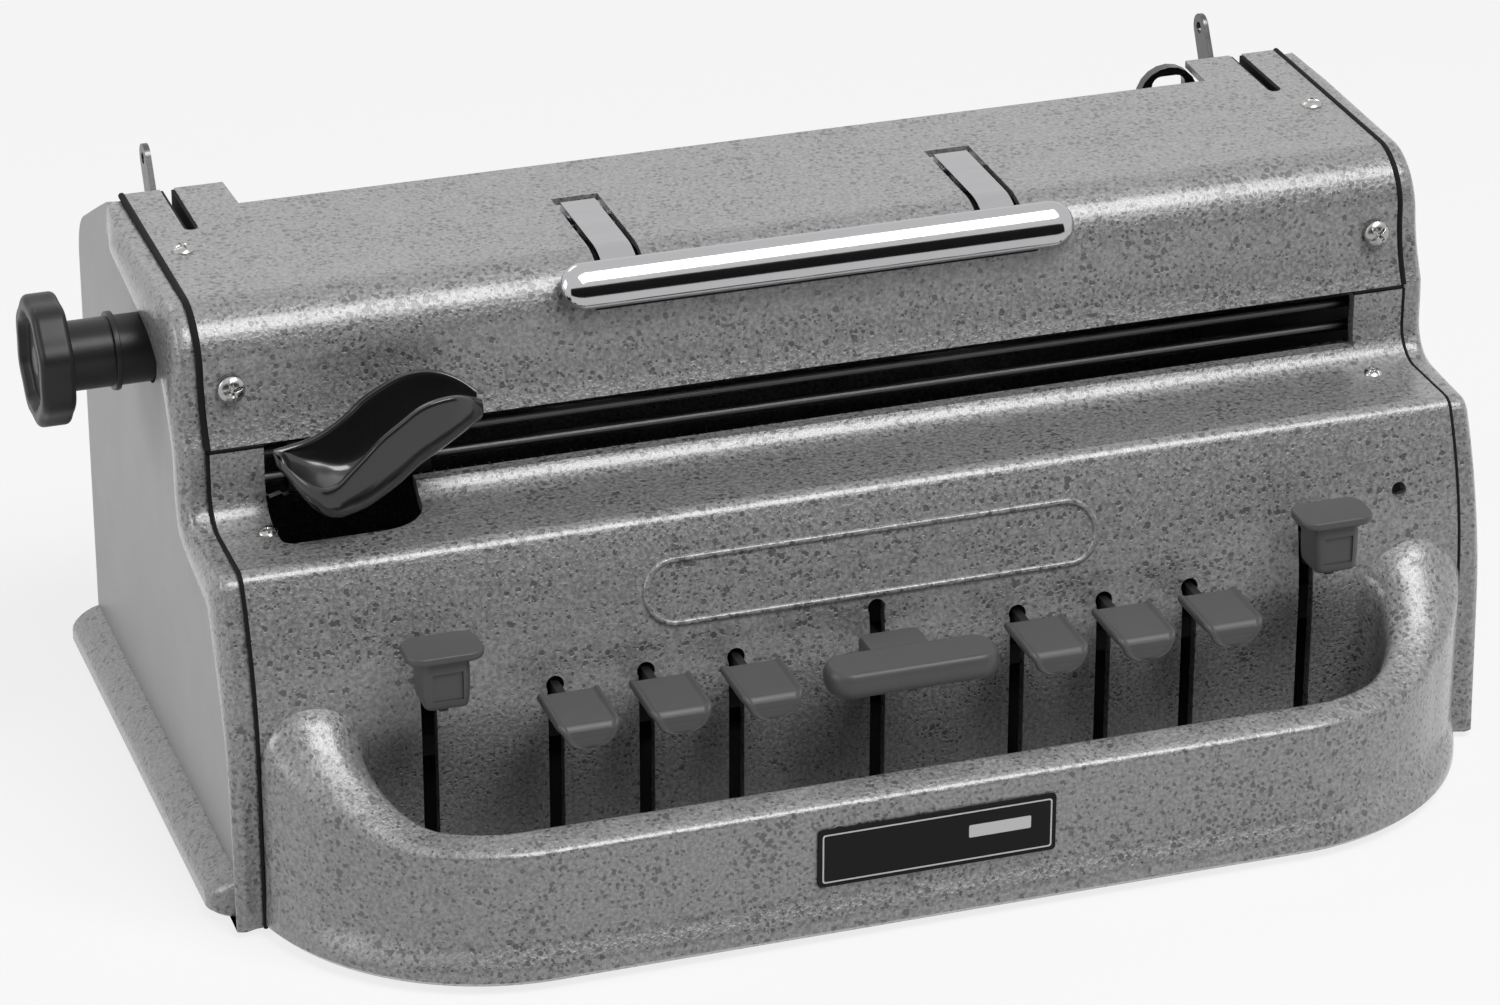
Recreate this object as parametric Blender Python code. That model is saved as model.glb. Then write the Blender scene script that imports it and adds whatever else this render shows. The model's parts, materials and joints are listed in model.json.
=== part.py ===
"""A braille writing machine with nine keys, a feed drum, a sliding embossing head and a carrying handle.

Lengths are metres. X runs to the right, Y to the back and Z up. Outlines are worked out about the
machine's mid plane, and one parent empty sets the whole machine on its feet.
"""
import math

import bmesh
import bpy
from mathutils import Matrix, Vector

# Casing
SEAM_X = 0.1662
SEAM_GAP = 0.0004
HALF_DEPTH = 0.1115
DECK_Z = 0.1505
SEAT_GAP = 0.0003
FRAME_SPARE = 0.0062
FRAME_X = SEAM_X - FRAME_SPARE
OVERRUN = 0.006
ROUND_STEPS = 8

# Front cover: shelf, sloping face and posts beside the head slot
WALL = 0.0032
LIP_Y = -0.0189
POST_DROP = 0.0355
POST_TOP = DECK_Z - POST_DROP
SHELF_DROP = 0.0545
SHELF_Z = DECK_Z - SHELF_DROP
POST_FILLET = 0.0090
FOLD_R = 0.0045
FACE_Y = -0.0623
FACE_DROP = 0.0500
FACE_Z = SHELF_Z - FACE_DROP
FACE_R = 0.1110
OPEN_IN = 0.0147
OPEN_X = SEAM_X - OPEN_IN
OPEN_RISE = 0.0043
OPEN_Z = SHELF_Z + OPEN_RISE
NOTCH_LONG = 0.0395
NOTCH_RIGHT = NOTCH_LONG - OPEN_X
NOTCH_FRONT = -0.0372
NOTCH_SMALL_R = 0.0030
NOTCH_LARGE_R = 0.0130
SIDE_HOLE_IN = 0.0026
SIDE_HOLE_X = OPEN_X - SIDE_HOLE_IN
SIDE_HOLE_DROP = 0.0208
SIDE_HOLE_Z = SHELF_Z - SIDE_HOLE_DROP
SIDE_HOLE_R = 0.0021

# Front cover: wrist rail round the key well
BASE_R = 0.0660
BASE_SIDE_SHARE = 0.965
BASE_CX = SEAM_X - BASE_R * BASE_SIDE_SHARE
BASE_CY = BASE_R - HALF_DEPTH
WELL_IN = 0.0262
WELL_X = SEAM_X - WELL_IN
RAIL_DEEP = 0.0135
WELL_Y = RAIL_DEEP - HALF_DEPTH
RAIL_TURN = 0.0340
WELL_R = BASE_R - RAIL_TURN
RAIL_ROOT = 0.0120
RAIL_BACK = WELL_Y + WELL_R + RAIL_ROOT
RAIL_TOP = 0.0388
HORN_RISE = 0.0192
RAIL_HORN = RAIL_TOP + HORN_RISE
RAIL_CROWN = 0.0052
HORN_CROWN = 0.0105
BASE_FLARE = 0.0040
BASE_BAND = 0.0100
BAND_FOOT = 0.0012
HOLLOW_TOP = 0.0070
FLOOR_TOP = 0.0080
FLOOR_T = 0.0030
RISE_SHARE = 0.60
RISE_POWER = 1.7
RAIL_STEPS = 14

# Top cover
COVER_T = 0.0020
COVER_LIP = 0.0012
TOP_R = 0.0150
TOP_CY = 0.0010
EAR_IN = 0.0395
EAR_Y = HALF_DEPTH - EAR_IN
RECESS_IN = 0.0550
RECESS_Y = HALF_DEPTH - RECESS_IN
RECESS_SIDE_IN = 0.0283
RECESS_X = SEAM_X - RECESS_SIDE_IN
RECESS_SPREAD = 0.0008
RELEASE_SPARE = 0.0125
RELEASE_X = SEAM_X - RELEASE_SPARE
RELEASE_SLOT_W = 0.0038
RELEASE_SLOT_IN = 0.0685
RELEASE_SLOT_Y = HALF_DEPTH - RELEASE_SLOT_IN

# Side plates
PANEL_T = 0.0042
BEAD_RISE = 0.0030
SHOULDER_IN = 0.0115
BACK_SHOULDER_Y = HALF_DEPTH - SHOULDER_IN
SHOULDER_DROP = 0.0161
BACK_SHOULDER_Z = DECK_Z - SHOULDER_DROP
DECK_END_IN = 0.0415
DECK_END_Y = HALF_DEPTH - DECK_END_IN
BACK_CORNER_R = 0.0160
SKIRT_OUT = 0.0079
SKIRT_TOP = 0.0105
SKIRT_MID = 0.0040
SKIRT_FOOT = 0.0010
SKIRT_FRONT = -0.0545
SKIRT_REAR_IN = 0.0010
SKIRT_REAR = HALF_DEPTH - SKIRT_REAR_IN
SKIRT_NOSE = 0.0080
SKIRT_TIP_SHARE = 0.35
BEAD_LEG_STEPS = (8, 8, 4, 6, 5, 4, 5, 8, 10, 6, 4, 6)
BEAD_SMOOTHING = 5
BEAD_FOOT_W = 0.0026
BEAD_FACE_W = 0.0070
BEAD_BROW_IN = 0.0085
BEAD_BROW_DROP = 0.0174
BEAD_FOLD_DROP = 0.0150
BEAD_SHELF_IN = 0.0124
BEAD_SHELF_DROP = 0.0084
BEAD_POST_W = 0.0130
BEAD_POST_RISE = 0.0070
BEAD_TURN_DROP = 0.0015
BEAD_ROLL_IN = 0.0030
BEAD_ROLL_DROP = 0.0095
BEAD_DECK_IN = 0.0187
BEAD_DECK_DROP = 0.0173
BEAD_END_IN = 0.0044
BEAD_END_DROP = 0.0095
BEAD_BACK_W = 0.0032
BEAD_FADE_FROM = 0.0500
BEAD_PROFILE_SHARES = (
    (0.0, -0.75), (0.04, -0.2), (0.1, 0.2), (0.2, 0.65), (0.35, 0.95), (0.5, 1.0),
    (0.68, 0.8), (0.85, 0.35), (1.0, 0.0),
)

# Rear cover and base pan
REAR_IN = 0.0060
REAR_Y = HALF_DEPTH - REAR_IN
REAR_T = 0.0025
REAR_DROP = 0.0315
REAR_TOP = DECK_Z - REAR_DROP
REAR_BEND_R = 0.0080
REAR_FOOT = 0.0045
REAR_LEDGE_IN = 0.0195
REAR_LEDGE_Y = HALF_DEPTH - REAR_LEDGE_IN
MARGIN_SLOT_SPARE = 0.0402
MARGIN_SLOT_X = SEAM_X - MARGIN_SLOT_SPARE
MARGIN_SLOT_H = 0.0090
PAN_T = 0.0020
PAN_LOW = 0.0010
PAN_INSET = 0.0010
PAN_FRONT = -0.0500

# Feet
FOOT_R = 0.0095
FOOT_TIP_R = 0.0080
FOOT_PROUD = 0.0020
FOOT_BACK_SPARE = 0.0242
FOOT_BACK_X = SEAM_X - FOOT_BACK_SPARE
FOOT_BACK_IN = 0.0215
FOOT_BACK_Y = HALF_DEPTH - FOOT_BACK_IN
FOOT_FRONT_SPARE = 0.0220
FOOT_FRONT_X = WELL_X - FOOT_FRONT_SPARE
FOOT_FRONT_Y = -0.0720

# Handle
STRAP_X = 0.0525
STRAP_W = 0.0095
STRAP_T = 0.0016
STRAP_SLOT_W = 0.0128
STRAP_END = 0.0020
HANDLE_Y = 0.0280
HANDLE_DROP = 0.0042
KNUCKLE_R = 0.0033
HANDLE_PIN_R = 0.0020
RUN_CLEARANCE = 0.0001
STRAP_SLOT_BACK = 0.0050
STRAP_SLOT_DROP = 0.0145
STRAP_SLOT_LOW = DECK_Z - STRAP_SLOT_DROP
GRIP_DEG = 146.0
GRIP_HIGH = 0.0062
GRIP_DEEP = 0.0036
GRIP_HALF = 0.0707
CHEEK_T = 0.0015
CHEEK_LONG = 0.0080
BRIDGE_T = 0.0013

# Feed roller and knob
DRUM_Y = 0.0270
DRUM_DROP = 0.0240
DRUM_Z = DECK_Z - DRUM_DROP
DRUM_R = 0.0140
DRUM_SPARE = 0.0140
DRUM_X = FRAME_X - DRUM_SPARE
DRUM_WALL = 0.0015
SHAFT_R = 0.0040
SLEEVE_R = 0.0092
SLEEVE_OUT = 0.0040
SLEEVE_IN = FRAME_X + SLEEVE_OUT
SLEEVE_HOLE_R = 0.0098
COLLAR_OUT = 0.0138
COLLAR_X = SEAM_X + COLLAR_OUT
COLLAR_T = 0.0016
COLLAR_R = 0.0104
KNOB_REACH = 0.0266
KNOB_IN = SEAM_X + KNOB_REACH
KNOB_LONG = 0.0090
KNOB_OUT = KNOB_IN + KNOB_LONG
KNOB_R = 0.0174
KNOB_DISH_R = 0.0128
KNOB_DISH_DEEP = 0.0026
KNOB_EDGE = 0.0018
KNOB_LOBES = 8
KNOB_LOBE_SHARE = 0.055
RATCHET_SPARE = 0.0115
RATCHET_X = FRAME_X - RATCHET_SPARE
RATCHET_T = 0.0024
RATCHET_R = 0.0125
RATCHET_TOOTH = 0.0018
RATCHET_TEETH = 24

# Inner frame
FRAME_T = 0.0030
FRAME_FRONT = -0.0135
FRAME_LOW_FRONT = -0.0440
FRAME_FOOT = 0.0034
FRAME_SHELF_DROP = 0.0060
FRAME_SHELF = SHELF_Z - FRAME_SHELF_DROP
FRAME_TOP_DROP = 0.0080
FRAME_TOP = DECK_Z - FRAME_TOP_DROP
BROW_DROP = 0.0205
FRAME_BROW = DECK_Z - BROW_DROP
FRAME_BROW_Y = -0.0080
BROW_LOW_DROP = 0.0325
FRAME_BROW_LOW = DECK_Z - BROW_LOW_DROP
FRAME_DECK_IN = 0.0595
FRAME_DECK_Y = HALF_DEPTH - FRAME_DECK_IN
FRAME_BACK_IN = 0.0155
FRAME_BACK_Y = HALF_DEPTH - FRAME_BACK_IN
FRAME_BACK_DROP = 0.0375
FRAME_BACK_Z = DECK_Z - FRAME_BACK_DROP
BAR_W = 0.0080
BAR_H = 0.0060

# Paper release
RELEASE_IN = 0.0360
RELEASE_Y = HALF_DEPTH - RELEASE_IN
RELEASE_DROP = 0.0405
RELEASE_Z = DECK_Z - RELEASE_DROP
RELEASE_R = 0.0030
RELEASE_TIP_IN = 0.0147
RELEASE_TIP_Y = HALF_DEPTH - RELEASE_TIP_IN
RELEASE_TIP_DROP = 0.0009
RELEASE_TIP_Z = DECK_Z - RELEASE_TIP_DROP
RELEASE_EYE_R = 0.0016
RELEASE_T = 0.0016
RELEASE_W = 0.0080
RELEASE_HUB_R = 0.0052
ROLLER_R = 0.0048
ROLLER_PIN_R = 0.0018
ROLLER_SPARE = 0.0520
ROLLER_X = FRAME_X - ROLLER_SPARE
ARM_SPARE = 0.0490
ARM_X = FRAME_X - ARM_SPARE
ARM_T = 0.0025
ARM_SHARE = 0.8
NIP_GAP = 0.0004
NIP_DEG = -16.0

# Paper table, rest and edge guide
TABLE_SPARE = 0.0110
TABLE_X = FRAME_X - TABLE_SPARE
TABLE_T = 0.0015
TABLE_FRONT_Y = 0.0525
TABLE_DROP = 0.0237
TABLE_FRONT_Z = DECK_Z - TABLE_DROP
TABLE_BACK_IN = 0.0115
TABLE_BACK_Y = HALF_DEPTH - TABLE_BACK_IN
REST_IN = 0.0075
REST_Y = HALF_DEPTH - REST_IN
REST_RISE = 0.0008
REST_R = 0.0024
REST_T = 0.0018
REST_SPARE = 0.0420
REST_X = FRAME_X - REST_SPARE
REST_FRONT_IN = 0.0475
REST_FRONT_Y = HALF_DEPTH - REST_FRONT_IN
GUIDE_SPARE = 0.0240
GUIDE_X = FRAME_X - GUIDE_SPARE
GUIDE_W = 0.0180
GUIDE_IN = 0.0325
GUIDE_Y = HALF_DEPTH - GUIDE_IN
GUIDE_T = 0.0030
GUIDE_DROP = 0.0037
GUIDE_TOP = DECK_Z - GUIDE_DROP
GUIDE_BAND = 0.0026
GUIDE_SPLIT_DROP = 0.0155
GUIDE_SPLIT = DECK_Z - GUIDE_SPLIT_DROP
GUIDE_HOLE = 0.0050
GUIDE_ROUND_SHARE = 0.55

# Embossing head and its rods
ROD_Y = -0.0100
ROD_R = 0.0015
UPPER_ROD_DROP = 0.0410
UPPER_ROD_Z = DECK_Z - UPPER_ROD_DROP
LOWER_ROD_DROP = 0.0480
LOWER_ROD_Z = DECK_Z - LOWER_ROD_DROP
RACK_DROP = 0.0543
RACK_Z = DECK_Z - RACK_DROP
RACK_H = 0.0026
RACK_T = 0.0020
RACK_TEETH = 84
RACK_TOOTH = 0.0008
HEAD_START = 0.0265
HEAD_X = HEAD_START - OPEN_X
HEAD_W = 0.0380
HEAD_FRONT = -0.0135
HEAD_BACK = -0.0050
HEAD_TOP_DROP = 0.0375
HEAD_TOP = DECK_Z - HEAD_TOP_DROP
HEAD_LOW_DROP = 0.0513
HEAD_LOW = DECK_Z - HEAD_LOW_DROP
HEAD_ARM_DROP = 0.0513
HEAD_ARM_LOW = DECK_Z - HEAD_ARM_DROP
HEAD_ARM_T = 0.0045
HEAD_ARM_BACK = 0.0340
HEAD_ARM_W = 0.0220
STYLUS_HALF = 0.0060
STYLUS_GAP = 0.0012
PIVOT_Y = -0.0162
PIVOT_DROP = 0.0430
PIVOT_Z = DECK_Z - PIVOT_DROP
PIVOT_R = 0.0012
LUG_R = 0.0024
LUG_T = 0.0018
STEM_HALF = 0.0020
PADDLE_RIM = 0.0022
PADDLE_FLOOR = 0.0022
PADDLE_SIZE = 0.0500
PADDLE_START = 0.0010
PADDLE_Y = -0.0250
PADDLE_DROP = 0.0329
PADDLE_Z = DECK_Z - PADDLE_DROP
UNDER_SHARE = 0.6
STEM_MID_Y = -0.0250
STEM_MID_DROP = 0.0405
STEM_MID_Z = DECK_Z - STEM_MID_DROP
STEM_TIP_Y = -0.0370
STEM_TIP_DROP = 0.0360
STEM_TIP_Z = DECK_Z - STEM_TIP_DROP
PADDLE_SHARES = (
    (0.000, -0.130, -0.012, 0.004, 0.000, 0.060),
    (0.070, -0.300, -0.052, 0.016, 0.004, 0.108),
    (0.150, -0.390, -0.080, 0.020, 0.016, 0.160),
    (0.230, -0.410, -0.064, 0.020, 0.040, 0.210),
    (0.310, -0.410, 0.004, 0.020, 0.080, 0.274),
    (0.390, -0.410, 0.078, 0.020, 0.134, 0.330),
    (0.470, -0.410, 0.154, 0.014, 0.206, 0.366),
    (0.570, -0.410, 0.226, 0.008, 0.268, 0.370),
    (0.670, -0.410, 0.294, 0.000, 0.316, 0.356),
    (0.770, -0.406, 0.324, -0.010, 0.334, 0.326),
    (0.870, -0.390, 0.324, -0.040, 0.328, 0.274),
    (0.960, -0.350, 0.288, -0.080, 0.294, 0.206),
    (1.030, -0.290, 0.238, -0.130, 0.246, 0.140),
)

# Keys
KEY_Y = 0.0350
KEY_Z = 0.0220
KEY_SHAFT_R = 0.0030
LEVER_T = 0.0022
LEVER_H = 0.0075
LEVER_TAIL_Y = 0.0560
HUB_R = 0.0065
KEY_TRAVEL_DEG = 4.5
SLOT_W = 0.0042
SLOT_LOW = 0.0092
SLOT_HOLE_R = 0.0027
DOT_FIRST = 0.0389
DOT_PITCH = 0.0244
DOT_COUNT = 3
DOT_HOLE_DROP = 0.0363
DOT_HOLE_Z = SHELF_Z - DOT_HOLE_DROP
SPACE_HOLE_DROP = 0.0310
SPACE_HOLE_Z = SHELF_Z - SPACE_HOLE_DROP
SIDE_KEY_X = 0.1213
SIDE_KEY_SLOT_DROP = 0.0245
SIDE_KEY_SLOT_Z = SHELF_Z - SIDE_KEY_SLOT_DROP
DOT_DROP = 0.0338
DOT_TOP = SHELF_Z - DOT_DROP
CAP_W = 0.0168
CAP_BACK = -0.0735
CAP_FRONT = -0.0935
CAP_T = 0.0024
CAP_CHAMFER = 0.0008
CAP_LIP = 0.0036
CAP_CHIN = 0.0070
CAP_BEND_R = 0.0030
CAP_CORE_W = 0.0080
CAP_BACK_SHARE = 0.92
CAP_BEND_SHARE = 0.82
CAP_CHIN_SHARE = 0.66
CAP_TIP_SHARE = 0.42
TONGUE_H = 0.0025
SPACE_DROP = 0.0315
SPACE_TOP = SHELF_Z - SPACE_DROP
SPACE_BAR_HALF = 0.0235
SPACE_BAR_BACK = -0.0800
SPACE_BAR_FRONT = -0.0945
SPACE_BAR_T = 0.0070
SPACE_BAR_SHARES = ((0.6, 1.0), (0.0, 0.8), (0.0, 0.3), (0.3, 0.08), (0.8, 0.0))
SPACE_STEM_W = 0.0170
SPACE_STEM_BACK = -0.0690
SIDE_KEY_DROP = 0.0145
SIDE_KEY_TOP = SHELF_Z - SIDE_KEY_DROP
SIDE_PLATE_W = 0.0205
SIDE_PLATE_T = 0.0022
SIDE_BLOCK_W = 0.0126
SIDE_BLOCK_DROP = 0.0300
SIDE_BLOCK_LOW = SHELF_Z - SIDE_BLOCK_DROP
SIDE_KEY_BACK = -0.0690
SIDE_KEY_FRONT = -0.0815
STOP_BAR_Y = -0.0300
TAIL_BAR_Y = 0.0500

# Margin stops and bell
MARGIN_IN = 0.0155
MARGIN_Y = HALF_DEPTH - MARGIN_IN
MARGIN_Z = 0.0700
MARGIN_BAR = 0.0060
STOP_W = 0.0120
STOP_LEFT_X = -0.0700
STOP_RIGHT_X = 0.0800
STOP_TAB_H = 0.0060
STOP_WALL = 0.0025
STOP_TAB_IN = 0.0010
STOP_TAB_Y = HALF_DEPTH - STOP_TAB_IN
BELL_SPARE = 0.0520
BELL_X = FRAME_X - BELL_SPARE
BELL_IN = 0.0395
BELL_Y = HALF_DEPTH - BELL_IN
BELL_Z = 0.0300
BELL_R = 0.0150
BELL_WALL = 0.0016
BELL_POST_R = 0.0030
BELL_RISE_SHARE = 0.75
HAMMER_R = 0.0030
HAMMER_REACH = 0.0180
HAMMER_HUB_R = 0.0040
HAMMER_PIN_R = 0.0015
HAMMER_POST_R = 0.0028
HAMMER_ARM = 0.0022

# Label plate
LABEL_W = 0.0650
LABEL_H = 0.0165
LABEL_T = 0.0008
LABEL_DROP = 0.0176
LABEL_Z = RAIL_TOP - LABEL_DROP
LABEL_CORNER = 0.0012

EDGE_X = SEAM_X - SEAM_GAP / 2
PLATE_IN = SEAM_X + SEAM_GAP / 2
PANEL_X = SEAM_X + PANEL_T
TOP_CZ = DECK_Z - TOP_R
HANDLE_Z = DECK_Z - HANDLE_DROP
MACHINE_SHIFT = (KNOB_OUT - PANEL_X - SKIRT_OUT) / 2

scene = bpy.context.scene


def clear_scene():
    for item in list(bpy.data.objects):
        bpy.data.objects.remove(item, do_unlink=True)


def add_pivot(name, spot, parent=None):
    """Adds an empty at a place in the machine, to carry the pieces that move about it."""
    empty = bpy.data.objects.new(name, None)
    scene.collection.objects.link(empty)
    empty["spot"] = list(spot)
    if parent is None:
        empty.location = spot
    else:
        empty.parent = parent
        empty.location = Vector(spot) - Vector(parent["spot"])
    return empty


def add_object(name, bm, pivot, helper=False):
    """Turns a bmesh made in machine places into an object whose origin is its pivot."""
    bmesh.ops.remove_doubles(bm, verts=bm.verts, dist=SEAT_GAP / 100)
    bmesh.ops.recalc_face_normals(bm, faces=bm.faces)
    bmesh.ops.translate(bm, verts=bm.verts, vec=-Vector(pivot["spot"]))
    mesh = bpy.data.meshes.new(name)
    bm.to_mesh(mesh)
    bm.free()
    item = bpy.data.objects.new(name, mesh)
    scene.collection.objects.link(item)
    item.parent = pivot
    if helper:
        item.hide_render = True
        item.display_type = "WIRE"
    return item


def piece(name, bm, pivot, finish, smooth_deg=None):
    item = add_object(name, bm, pivot)
    colour, roughness, metallic = finish
    material = bpy.data.materials.new(name)
    material.use_nodes = True
    shader = material.node_tree.nodes["Principled BSDF"]
    shader.inputs["Base Color"].default_value = (*colour, 1)
    shader.inputs["Roughness"].default_value = roughness
    shader.inputs["Metallic"].default_value = metallic
    item.data.materials.append(material)
    if smooth_deg is not None:
        item.data.shade_smooth()
        item.data.set_sharp_from_angle(angle=math.radians(smooth_deg))
    return item


def combine(item, bm, pivot, operation):
    """Adds a solid to a piece, or takes it away, with a live Boolean."""
    name = item.name + "_" + operation.lower() + str(len(item.modifiers))
    tool = add_object(name, bm, pivot, helper=True)
    modifier = item.modifiers.new(tool.name, "BOOLEAN")
    modifier.operation = operation
    modifier.object = tool
    modifier.solver = "EXACT"


def cut(item, bm, pivot):
    combine(item, bm, pivot, "DIFFERENCE")


def join(item, bm, pivot):
    combine(item, bm, pivot, "UNION")


def loft(rings, capped=True, looped=False):
    """Joins rings of equal count into a skin, with flat ends or round upon itself."""
    bm = bmesh.new()
    rows = [[bm.verts.new(point) for point in ring] for ring in rings]
    pairs = list(zip(rows, rows[1:]))
    if looped:
        pairs.append((rows[-1], rows[0]))
    for low, high in pairs:
        for i in range(len(low)):
            j = (i + 1) % len(low)
            bm.faces.new((low[i], low[j], high[j], high[i]))
    if capped and not looped:
        bm.faces.new(list(reversed(rows[0])))
        bm.faces.new(rows[-1])
    return bm


def slab_x(outline, x0, x1):
    return loft([[(x, y, z) for y, z in outline] for x in (x0, x1)])


def slab_y(outline, y0, y1):
    return loft([[(x, y, z) for x, z in outline] for y in (y0, y1)])


def slab_z(outline, z0, z1):
    return loft([[(x, y, z) for x, y in outline] for z in (z0, z1)])


def box(low, high):
    x0, y0, z0 = low
    x1, y1, z1 = high
    return slab_z([(x0, y0), (x1, y0), (x1, y1), (x0, y1)], z0, z1)


def merged(parts):
    """Puts separate solids into one bmesh."""
    whole = bmesh.new()
    for part in parts:
        scratch = bpy.data.meshes.new("scratch")
        part.to_mesh(scratch)
        part.free()
        whole.from_mesh(scratch)
        bpy.data.meshes.remove(scratch)
    return whole


def arc(cx, cy, r, start_deg, end_deg, steps=ROUND_STEPS):
    points = []
    for i in range(steps + 1):
        angle = math.radians(start_deg + (end_deg - start_deg) * i / steps)
        points.append((cx + r * math.cos(angle), cy + r * math.sin(angle)))
    return points


def circle(cx, cy, r, sides=24, turn_deg=0):
    return arc(cx, cy, r, turn_deg, turn_deg + 360, sides)[:-1]


def rounded(x0, y0, x1, y1, r, steps=4):
    """A rectangle with four round corners, anticlockwise from its lower right corner."""
    points = arc(x1 - r, y0 + r, r, -90, 0, steps)
    points += arc(x1 - r, y1 - r, r, 0, 90, steps)
    points += arc(x0 + r, y1 - r, r, 90, 180, steps)
    points += arc(x0 + r, y0 + r, r, 180, 270, steps)
    return points


def turned_x(cy, cz, stations, sides=24, lobes=0, lobe_share=0.0):
    """A turned solid along X from (x, radius) stations, with lobes round its rim where asked."""
    rings = []
    for x, r in stations:
        ring = []
        for i in range(sides):
            angle = 2 * math.pi * i / sides
            wave = 1 - lobe_share * (0.5 + 0.5 * math.cos(lobes * angle)) if lobes else 1
            ring.append((x, cy + r * wave * math.cos(angle), cz + r * wave * math.sin(angle)))
        rings.append(ring)
    return loft(rings)


def tube_x(cy, cz, outline, sides=24):
    """A hollow turned solid: a closed outline of (x, radius) swung right round."""
    rings = []
    for i in range(sides):
        angle = 2 * math.pi * i / sides
        rings.append([(x, cy + r * math.cos(angle), cz + r * math.sin(angle)) for x, r in outline])
    return loft(rings, capped=False, looped=True)


def offset_line(points, distance):
    """Moves an open line sideways, to the left of its direction for a positive distance."""
    moved = []
    for i, (y, z) in enumerate(points):
        before = points[max(i - 1, 0)]
        after = points[min(i + 1, len(points) - 1)]
        length = math.hypot(after[0] - before[0], after[1] - before[1])
        normal_y = -(after[1] - before[1]) / length
        normal_z = (after[0] - before[0]) / length
        moved.append((y + normal_y * distance, z + normal_z * distance))
    return moved


def sheet_outline(points, thickness):
    """The closed section of a bent sheet, from its outer line and its thickness."""
    return points + list(reversed(offset_line(points, thickness)))


def face_y(z):
    """Where the front face lies at a height: upright below its foremost point, curved above it."""
    if z < FACE_Z:
        return FACE_Y
    return FACE_Y + FACE_R - math.sqrt(FACE_R ** 2 - (z - FACE_Z) ** 2)


def front_legs(low):
    """The front cover's outer line in legs: the lower and upper face, fold, shelf, fillet and post."""
    face_cy = FACE_Y + FACE_R
    rise = SHELF_Z - FOLD_R - FACE_Z
    run = math.sqrt((FACE_R - FOLD_R) ** 2 - rise ** 2)
    meet_deg = 180 - math.degrees(math.atan2(rise, run))
    lower = [(FACE_Y, low), (FACE_Y, FACE_Z)]
    upper = arc(face_cy, FACE_Z, FACE_R, 180, meet_deg, 5)
    fold = arc(face_cy - run, SHELF_Z - FOLD_R, FOLD_R, meet_deg, 90, 5)
    fillet = arc(LIP_Y - POST_FILLET, SHELF_Z + POST_FILLET, POST_FILLET, -90, 0, 6)
    return [lower, upper, fold, [fold[-1], fillet[0]], fillet, [fillet[-1], (LIP_Y, POST_TOP)]]


def cover_legs(back_y):
    """The top cover's outer line in legs: the sweep up from its lip, the roll and the deck."""
    drop = TOP_CZ - POST_TOP - COVER_LIP
    out = TOP_CY - TOP_R - LIP_Y
    sweep_r = (drop ** 2 + out ** 2) / (2 * out)
    sweep_deg = math.degrees(math.asin(drop / sweep_r))
    sweep = arc(TOP_CY - TOP_R - sweep_r, TOP_CZ, sweep_r, -sweep_deg, 0, 5)
    roll = arc(TOP_CY, TOP_CZ, TOP_R, 180, 90, 8)
    return [sweep, roll, [roll[-1], (back_y, DECK_Z)]]


def run_together(legs):
    """One line from legs that meet end to end."""
    line = list(legs[0])
    for leg in legs[1:]:
        line += leg if math.dist(line[-1], leg[0]) > SEAT_GAP / 10 else leg[1:]
    return line


def front_line(low):
    return list(reversed(run_together(front_legs(low))))


def cover_line(back_y):
    return list(reversed(run_together(cover_legs(back_y))))


def rail_height(share):
    """The crest of the wrist rail: high horns at the face, low along the front."""
    if share >= RISE_SHARE:
        return RAIL_TOP
    return RAIL_TOP + (RAIL_HORN - RAIL_TOP) * (1 - share / RISE_SHARE) ** RISE_POWER


def rail_section(outer, inner, share, flare):
    """One section of the wrist rail: round base band, outer face, crest, inner face and hollow."""
    width = math.dist(outer, inner)
    top = rail_height(share)
    crown = RAIL_CROWN + (HORN_CROWN - RAIL_CROWN) * (top - RAIL_TOP) / (RAIL_HORN - RAIL_TOP)
    half = (width - flare) / 2
    line = [(BAND_FOOT, 0), (0, BAND_FOOT), (0, BASE_BAND / 2), (flare / 3, BASE_BAND * 0.85)]
    line += [(flare, BASE_BAND)]
    for deg in (180, 155, 125, 90, 55, 25, 0):
        angle = math.radians(deg)
        line.append((flare + half + half * math.cos(angle), top - crown + crown * math.sin(angle)))
    line += [(width, FLOOR_TOP), (width, FLOOR_TOP - FLOOR_T)]
    line += [(width - WALL, FLOOR_TOP - FLOOR_T), (width - WALL, top - crown - WALL)]
    line += [(flare + WALL, top - crown - WALL), (flare + WALL, BASE_BAND), (BAND_FOOT + WALL, 0)]
    ring = []
    for inward, z in line:
        part = inward / width
        ring.append((outer[0] + (inner[0] - outer[0]) * part, outer[1] + (inner[1] - outer[1]) * part, z))
    return ring


def rail_half():
    """Stations of the left half of the rail as (outer point, inner point, share, flare)."""
    start_deg = 180 + math.degrees(math.acos((EDGE_X - BASE_CX) / BASE_R))
    stations = [((-EDGE_X, RAIL_BACK), (-WELL_X, RAIL_BACK), 0.0, SEAT_GAP)]
    for i in range(RAIL_STEPS + 1):
        share = i / RAIL_STEPS
        outer = arc(-BASE_CX, BASE_CY, BASE_R, start_deg, 270, RAIL_STEPS)[i]
        inner = arc(-WELL_X + WELL_R, WELL_Y + WELL_R, WELL_R, 180, 270, RAIL_STEPS)[i]
        flare = SEAT_GAP + (BASE_FLARE - SEAT_GAP) * min(1, 3 * share)
        stations.append((outer, inner, share, flare))
    return stations


def rail_solid():
    left = rail_half()
    right = [((-o[0], o[1]), (-n[0], n[1]), s, f) for o, n, s, f in reversed(left)]
    return loft([rail_section(*station) for station in left + right])


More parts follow.
